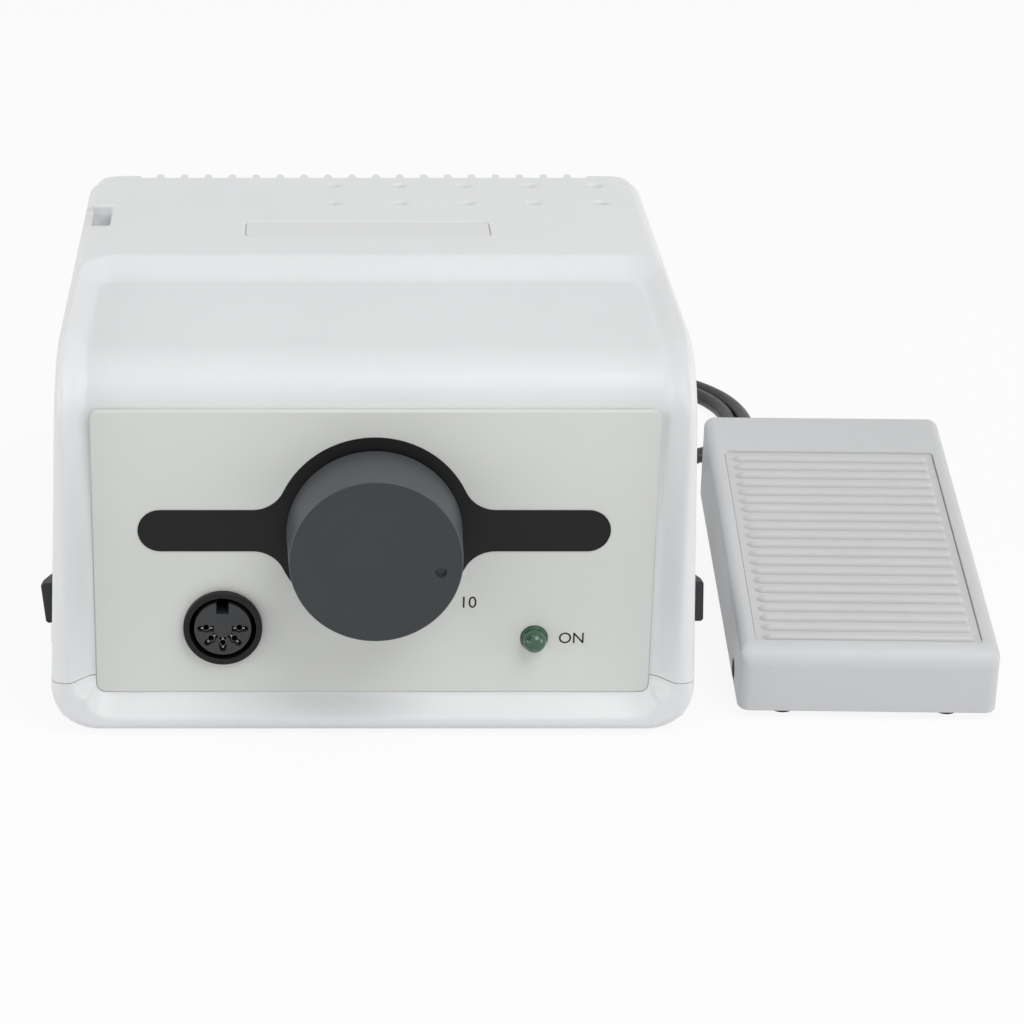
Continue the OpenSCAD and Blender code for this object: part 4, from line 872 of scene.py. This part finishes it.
def make_knob():
    """The speed knob: skirted drum with a crisp rim line, shallow dished face and a sunk dot."""
    bm = bmesh.new()
    profile = [(0, 6.5), (9, 6.5), (9, 0.3), (9.3, 0), (17.85, 0), (18.15, 0.1), (18.25, 0.4)]
    profile += [(17.72, 14.9)] + arc(17.38, 15.18, 0.32, 0, 90, 5) + [(17.1, 15.49), (12, 15.47), (0, 15.45)]
    add_lathe(bm, profile, facing(0, -1.3, KNOB_Z, "front"), 128)
    knob = raw("knob_drum", bm)
    cutter = bmesh.new()
    r, a = 13.4, math.radians(-9.5)
    add_lathe(cutter, [(0, -1.1), (0.95, -1.1), (1.12, -0.9), (1.2, -0.1), (1.2, 1.5), (0, 1.5)],
              facing(r * math.cos(a), -16.76, KNOB_Z + r * math.sin(a), "front"), 32)
    cut(knob, raw("dot_room", cutter))
    knob = dress(smooth(knob, 40), "knob", "knob_grey", "speed_knob")
    # the flat front faces take the darker copy of the knob's grey: painted shade, not a different plastic
    knob.data.materials.append(FINISH["knob_face"])
    front = row(0, -16.6, 0).y
    for polygon in knob.data.polygons:
        if polygon.center.y < front and polygon.normal.y < -0.98:
            polygon.material_index = 1


def make_panel():
    """The grey front panel, its black film and the bare plate in the roof."""
    dressed_copy("front_panel", "panel_sheet", 0.35, 3, "panel_grey")
    dressed_copy("panel_film", "panel_print", 0.06, 1, "film_black")
    dressed_copy("name_plate", "roof_plate", 0.25, 3, "plate_grey")


def make_marks():
    """Plain marks: the dial's highest figure by the knob, and ON by the lamp."""
    for name, text, size, x, z in (("dial_figure", "10", 3.7, 18.0, 28.1), ("lamp_mark", "ON", 3.5, 39.0, 19.9)):
        data = bpy.data.curves.new(name, "FONT")
        data.body = text
        data.size = size
        data.extrude = 0.02
        letters = placed(name + "_type", data)
        settled = letters.evaluated_get(bpy.context.evaluated_depsgraph_get())
        bm = bmesh.new()
        bm.from_mesh(bpy.data.meshes.new_from_object(settled))
        bpy.data.objects.remove(letters)
        dress(raw(name, bm, ROW @ facing(x, -0.42, z, "front")), "stand", "film_black")


def make_socket():
    """The handpiece socket: shell, keyed insert and five sprung contacts."""
    dressed_copy("din_shell", "socket_shell", 0.25, 3, "black_plastic", finish="socket_black")
    insert = copy_of("din_insert", "socket_insert", 0.1, 2)
    slots = bmesh.new()
    for i in range(5):
        turn = facing(SOCKET_X, -1.7, SOCKET_Z, "front") @ Matrix.Rotation(math.radians(180 + 45 * i), 4, "Z")
        add_box(slots, (1.9, -0.7, -1.8), (4.9, 0.7, 1), turn)
    cut(insert, raw("contact_slots", slots))
    dress(smooth(insert), "stand", "black_plastic", "din_insert", finish="socket_grey")
    bm = bmesh.new()
    for r in (2.45, 4.35):
        add_box(bm, (r - 0.24, -0.22, -2.0), (r + 0.24, 0.22, -0.25))
    prongs = rounded(raw("contact_prongs", bm, Matrix()), 0.12, 2)
    prongs = repeated(prongs, 5, "contact_metal", turn=(0, 0, math.radians(45)))
    prongs.data.transform(ROW @ facing(SOCKET_X, -1.55, SOCKET_Z, "front") @ Matrix.Rotation(math.pi, 4, "Z"))
    # the socket's contacts take the darker metal: painted shade in the slots
    dress(smooth(prongs), "stand", "contact_metal", finish="contact_dull")
    dressed_copy("din_contacts", "socket_contacts", 0.08, 1, "contact_metal", finish="contact_dull")


def make_lamp():
    """The power lamp: a short collared tube with a round dome, in its plain hole."""
    bm = bmesh.new()
    profile = [(0, -6), (2.4, -6), (2.4, -0.9), (2.74, -0.9), (2.74, 0.42), (2.6, 0.56), (2.4, 0.6), (2.4, 1.6)]
    profile += arc(0, 2, 2.4, 0, 90, 12)
    profile[-1] = (0, 4.4)
    add_lathe(bm, profile, facing(33.9, 0, 21, "front"), 48)
    dress(smooth(raw("lamp_dome", bm), 50), "stand", "lamp_green", "lamp_lens")


make_knob()
make_panel()
make_marks()
make_socket()
make_lamp()

for side in ("left", "right"):
    dressed_copy(f"{side}_switch_frame", f"{side}_bezel", 0.3, 3, "black_plastic")
    dressed_copy(f"{side}_rocker", f"{side}_button", 0.35, 3, "black_plastic", f"{side}_rocker_body")


# -------------------- control box: rear and underside
def make_rear_fittings():
    """Mains inlet, fuse cap with its slot, and the pedal jack with its nut."""
    dressed_copy("mains_inlet", "inlet_socket", 0.35, 3, "black_plastic")
    dressed_copy("inlet_pins", "inlet_blades", 0.15, 2, "contact_metal")
    bm = bmesh.new()
    profile = [(0, -1), (6.0, -1), (6.0, 0), (7.0, 0), (7.4, 0.4), (7.4, 1.2), (6.6, 1.5), (6.4, 3.5), (6.0, 3.9),
               (0, 3.9)]
    add_lathe(bm, profile, facing(FUSE_X, REAR + 0.05, MAINS_Z, "rear"), 64)
    cap = raw("fuse_turn_cap", bm)
    slot = bmesh.new()
    add_box(slot, (FUSE_X - 4.6, REAR + 2.8, MAINS_Z - 0.6), (FUSE_X + 4.6, REAR + 8, MAINS_Z + 0.6))
    cut(cap, raw("slot", slot))
    dress(smooth(rounded(cap, 0.12, 2)), "stand", "black_plastic", "fuse_cap")
    dressed_copy("jack_nut", "jack_ring", 0.2, 2, "steel")
    dressed_copy("pedal_jack", "jack_bush", 0.15, 2, "black_plastic")


def make_feet(name, node, radius, start, gaps, place):
    """Soft feet with a rounded tread and a dimple."""
    bm = bmesh.new()
    profile = [(0, 0.35), (radius * 0.35, 0.35), (radius * 0.45, 0.0), (radius - 0.5, 0.0), (radius - 0.12, 0.15),
               (radius, 0.5), (radius, 2), (0, 2)]
    add_lathe(bm, profile, Matrix(), 40)
    feet = repeated(raw(name, bm, Matrix()), 2, "foot_rubber", start, (gaps[0], 0, 0))
    feet = repeated(feet, 2, "foot_rubber", step=(0, gaps[1], 0))
    feet.data.transform(place)
    dress(smooth(feet, 45), "stand", "foot_rubber", node)


make_rear_fittings()
make_feet("bench_feet", "box_feet", 5, (-43, 7.6, 0), (86, REAR - 19.6), ROW)
make_feet("tread_feet", "pedal_feet", 2.5, (10, 5.4, 0), (35.2, 77.2), ROW @ PEDAL)


# -------------------- pedal
PLAN_R = 2.6
PAD_Y = 39.7
NOSE_TOP, TOP_RISE = 16, 18.6
NOSE_SKIRT, SKIRT_RISE = 1.9, 13.1
TILT = math.atan2(TOP_RISE, TREAD_L)
HINGE_ENDS = [PEDAL @ facing(x, 11.8, 6.2, towards) for x, towards in ((0, "left"), (TREAD_W, "right"))]


def top_of(y):
    """The height of the treadle's top, from its nose to its heel."""
    return NOSE_TOP + TOP_RISE * y / TREAD_L


def skirt_of(y):
    """The height of its lower edge."""
    return NOSE_SKIRT + SKIRT_RISE * y / TREAD_L


def make_treadle():
    """The treadle: a hollow wedge with a soft nose, thin skirt and a sunk bed for the pad."""
    bm = bmesh.new()
    rings = []

    def ring(points):
        rings.append([bm.verts.new(p) for p in points])

    ring([(x, y, top_of(y) - 3.4) for x, y, _ in round_outline(0, 0, TREAD_W, TREAD_L, PLAN_R, 2.2)])
    for inset, rise in ((2.2, 0), (0.35, 0), (0.1, 0.1), (0, 0.35)):
        ring([(x, y, skirt_of(y) + rise) for x, y, _ in round_outline(0, 0, TREAD_W, TREAD_L, PLAN_R, inset)])
    # the nose is rounder than the sides and the rear
    for step in range(10):
        psi = math.radians(10 * step)
        side, front = 2.2 * (1 - math.cos(psi)), 4.2 * (1 - math.cos(psi))
        plan = round_outline(side, front, TREAD_W - side, TREAD_L - side, max(PLAN_R - side, 0.2), 0)
        ring([(x, y, top_of(y) - (2 + 2 * max(0, -math.sin(a)) ** 2) * (1 - math.sin(psi)))
              for x, y, a in plan])
    # the bed runs along the slope; here it is seen in plan
    slope = math.cos(TILT)
    bed = (TREAD_W / 2 - 24.15, PAD_Y - 36.15 * slope, TREAD_W / 2 + 24.15, PAD_Y + 37.55 * slope)
    for inset, drop in ((-0.3, 0.0), (-0.08, 0.08), (0.0, 0.3), (0.0, 2.1)):
        ring([(x, y, top_of(y) - drop) for x, y, _ in round_outline(*bed, 1.2, inset)])
    stitch(bm, rings)
    treadle = raw("treadle_shell", bm, ROW @ PEDAL)
    holes = bmesh.new()
    for end in HINGE_ENDS:
        add_lathe(holes, [(0, -4), (1.6, -4), (1.6, -0.8), (2.3, -0.8), (2.4, -0.7), (2.4, 3), (0, 3)], end, 40)
    cut(treadle, raw("hinge_holes", holes))
    dress(smooth(treadle, 40), "treadle_body", "treadle_grey", "treadle")


def make_pad():
    """The ribbed rubber pad: a thin sheet with twenty-one rounded cleats."""
    middle = Matrix.Translation((TREAD_W / 2, PAD_Y, top_of(PAD_Y)))
    slope = ROW @ PEDAL @ middle @ Matrix.Rotation(TILT, 4, "X")
    bm = bmesh.new()
    add_box(bm, (-24, -36.0, -2.08), (24, 37.4, -0.6))
    sheet = rounded(raw("pad_sheet", bm, Matrix()), 0.25, 3)
    sheet.data.transform(slope)
    dress(smooth(sheet), "treadle_body", "pad_grey", "treadle_pad")
    bm = bmesh.new()
    section = arc(0, -0.85, 1.2, -20, 200, 11)
    levels = ((-22.6, 0.4), (-22.2, 0.62), (-21.7, 0.83), (-21.1, 0.96), (-20.5, 1), (-10, 1), (0, 1), (10, 1),
              (21.4, 1), (21.9, 0.94), (22.2, 0.8), (22.4, 0.62), (22.5, 0.4))
    base, gap = -1.25, 3.46
    stitch(bm, [[bm.verts.new((x, y * k, base + (z - base) * k)) for y, z in section] for x, k in levels])
    cleats = repeated(raw("pad_cleats", bm, Matrix()), 21, "pad_grey", (0, -10 * gap, 0), (0, gap, 0))
    cleats.data.transform(slope)
    dress(smooth(cleats, 45), "treadle_body", "pad_grey")


def make_pedal_inside():
    """Base tray, hinge pin with its end caps, and the little switch under the treadle."""
    dressed_copy("pedal_base", "pedal_tray", 0.3, 2, "treadle_grey")
    # the hinge pin and the caps in its holes are near-black: painted shade for the holes' dark insides
    dressed_copy("hinge_pin", "hinge_rod", 0.3, 3, "steel", finish="pin_black")
    caps = bmesh.new()
    for end in HINGE_ENDS:
        add_lathe(caps, [(0, -0.7), (2.15, -0.7), (2.15, -0.2), (2.0, -0.06), (0, -0.06)], end, 40)
    dress(smooth(raw("hinge_caps", caps)), "stand", "steel", finish="pin_black")
    dressed_copy("foot_switch", "treadle_switch", 0.2, 2, "black_plastic")
    dressed_copy("switch_plunger", "switch_button", 0.2, 3, "plunger_red", "plunger_body")


def make_spring():
    """The treadle's return spring, wound from steel wire with closed ends."""
    low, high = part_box("return_spring")
    foot, head = low.z * 1000, high.z * 1000
    cx, cy = (low.x + high.x) / 2, (low.y + high.y) / 2
    wire, turns, steps, sides = 0.45, 8, 24, 10
    radius = (high.x - low.x) * 500 - wire
    start, end, closed = foot + wire, head - wire, 2 * wire
    bm = bmesh.new()
    rings = []
    for i in range(turns * steps + 1):
        t = i / steps
        if t < 1:
            z = start + closed * t * 0.98
        elif t > turns - 1:
            z = end - closed * (turns - t) * 0.98
        else:
            z = start + closed + (end - start - 2 * closed) * (t - 1) / (turns - 2)
        a = 2 * math.pi * t
        mid = Vector((radius * math.cos(a), radius * math.sin(a), z))
        out = Vector((math.cos(a), math.sin(a), 0))
        rings.append([bm.verts.new(mid + out * wire * math.cos(b) + Vector((0, 0, wire * math.sin(b))))
                      for b in (2 * math.pi * j / sides for j in range(sides))])
    stitch(bm, rings)
    place = Matrix.Translation((cx, cy, 0)) @ Matrix.Scale(0.001, 4)
    spring = dress(smooth(raw("treadle_spring", bm, place), 60), "stand", "steel", "return_spring")
    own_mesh(spring)


make_treadle()
make_pad()
make_pedal_inside()
make_spring()


# -------------------- inner nodes
# they keep their own shape and get the finish of their slot
for name, node in frame["nodes"].items():
    slot = next((s["material_slot"] for s in frame["record"]["subparts"] if s["node"] == name), None)
    if slot in FINISH:
        if node.material_slots:
            for place in node.material_slots:
                place.material = FINISH[slot]
        else:
            node.data.materials.append(FINISH[slot])


# -------------------- floor and light
def in_view(tree):
    """1 for rays that are seen, straight, mirrored or through a clear piece, and 0 for those that light the part."""
    path = tree.nodes.new("ShaderNodeLightPath")
    seen = path.outputs["Is Camera Ray"]
    for kind in ("Is Glossy Ray", "Is Transmission Ray"):
        either = tree.nodes.new("ShaderNodeMath")
        either.operation = "MAXIMUM"
        tree.links.new(seen, either.inputs[0])
        tree.links.new(path.outputs[kind], either.inputs[1])
        seen = either.outputs[0]
    return seen


def lay_floor():
    """A plain pale floor that keeps the shadow and reads as white."""
    mesh = bpy.data.meshes.new("floor")
    mesh.from_pydata([(-4, -4, 0), (4, -4, 0), (4, 4, 0), (-4, 4, 0)], [], [(0, 1, 2, 3)])
    floor = placed("floor", mesh)
    material = bpy.data.materials.new("floor_paper")
    material.use_nodes = True
    tree = material.node_tree
    tree.nodes.clear()
    new, link = tree.nodes.new, tree.links.new
    out = new("ShaderNodeOutputMaterial")
    paper = new("ShaderNodeBsdfDiffuse")
    paper.inputs["Color"].default_value = (0.86, 0.86, 0.87, 1)
    glow = new("ShaderNodeEmission")
    mix = new("ShaderNodeMixShader")
    share = new("ShaderNodeMath")
    share.operation = "MULTIPLY"
    share.inputs[1].default_value = 0.9
    link(in_view(tree), share.inputs[0])
    link(share.outputs[0], mix.inputs[0])
    link(paper.outputs[0], mix.inputs[1])
    link(glow.outputs[0], mix.inputs[2])
    link(mix.outputs[0], out.inputs[0])
    mesh.materials.append(material)


def hang_lights():
    """Soft studio light: a bright surround, a broad key from the upper right, and weaker lamps round the part."""
    world = bpy.data.worlds.new("studio")
    scene.world = world
    world.use_nodes = True
    tree = world.node_tree
    tree.nodes.clear()
    new, link = tree.nodes.new, tree.links.new
    out = new("ShaderNodeOutputWorld")
    mix = new("ShaderNodeMixShader")
    for i, strength in ((1, 0.40), (2, 1)):  # as light on the part, and as it is seen
        white = new("ShaderNodeBackground")
        white.inputs["Color"].default_value = (1, 1, 1, 1)
        white.inputs["Strength"].default_value = strength
        link(white.outputs[0], mix.inputs[i])
    link(in_view(tree), mix.inputs[0])
    link(mix.outputs[0], out.inputs[0])
    aim = Vector((0, 0, 0.04))
    for name, place, power, size in (("key", (0.5, -0.75, 1.3), 10.2, 0.9), ("fill", (-0.9, -0.9, 0.5), 1.1, 1.1),
                                     ("top", (0.0, 0.35, 1.4), 1.4, 1.2), ("left", (-1.25, -0.3, 0.25), 5.4, 0.7),
                                     ("right", (1.3, -0.3, 0.25), 4.8, 0.7)):
        lamp = bpy.data.lights.new(name, "AREA")
        lamp.energy = power
        lamp.size = size
        light = placed(name, lamp)
        light.location = place
        light.rotation_euler = (aim - Vector(place)).to_track_quat("-Z", "Y").to_euler()


lay_floor()
hang_lights()
scene.view_settings.view_transform = "Standard"
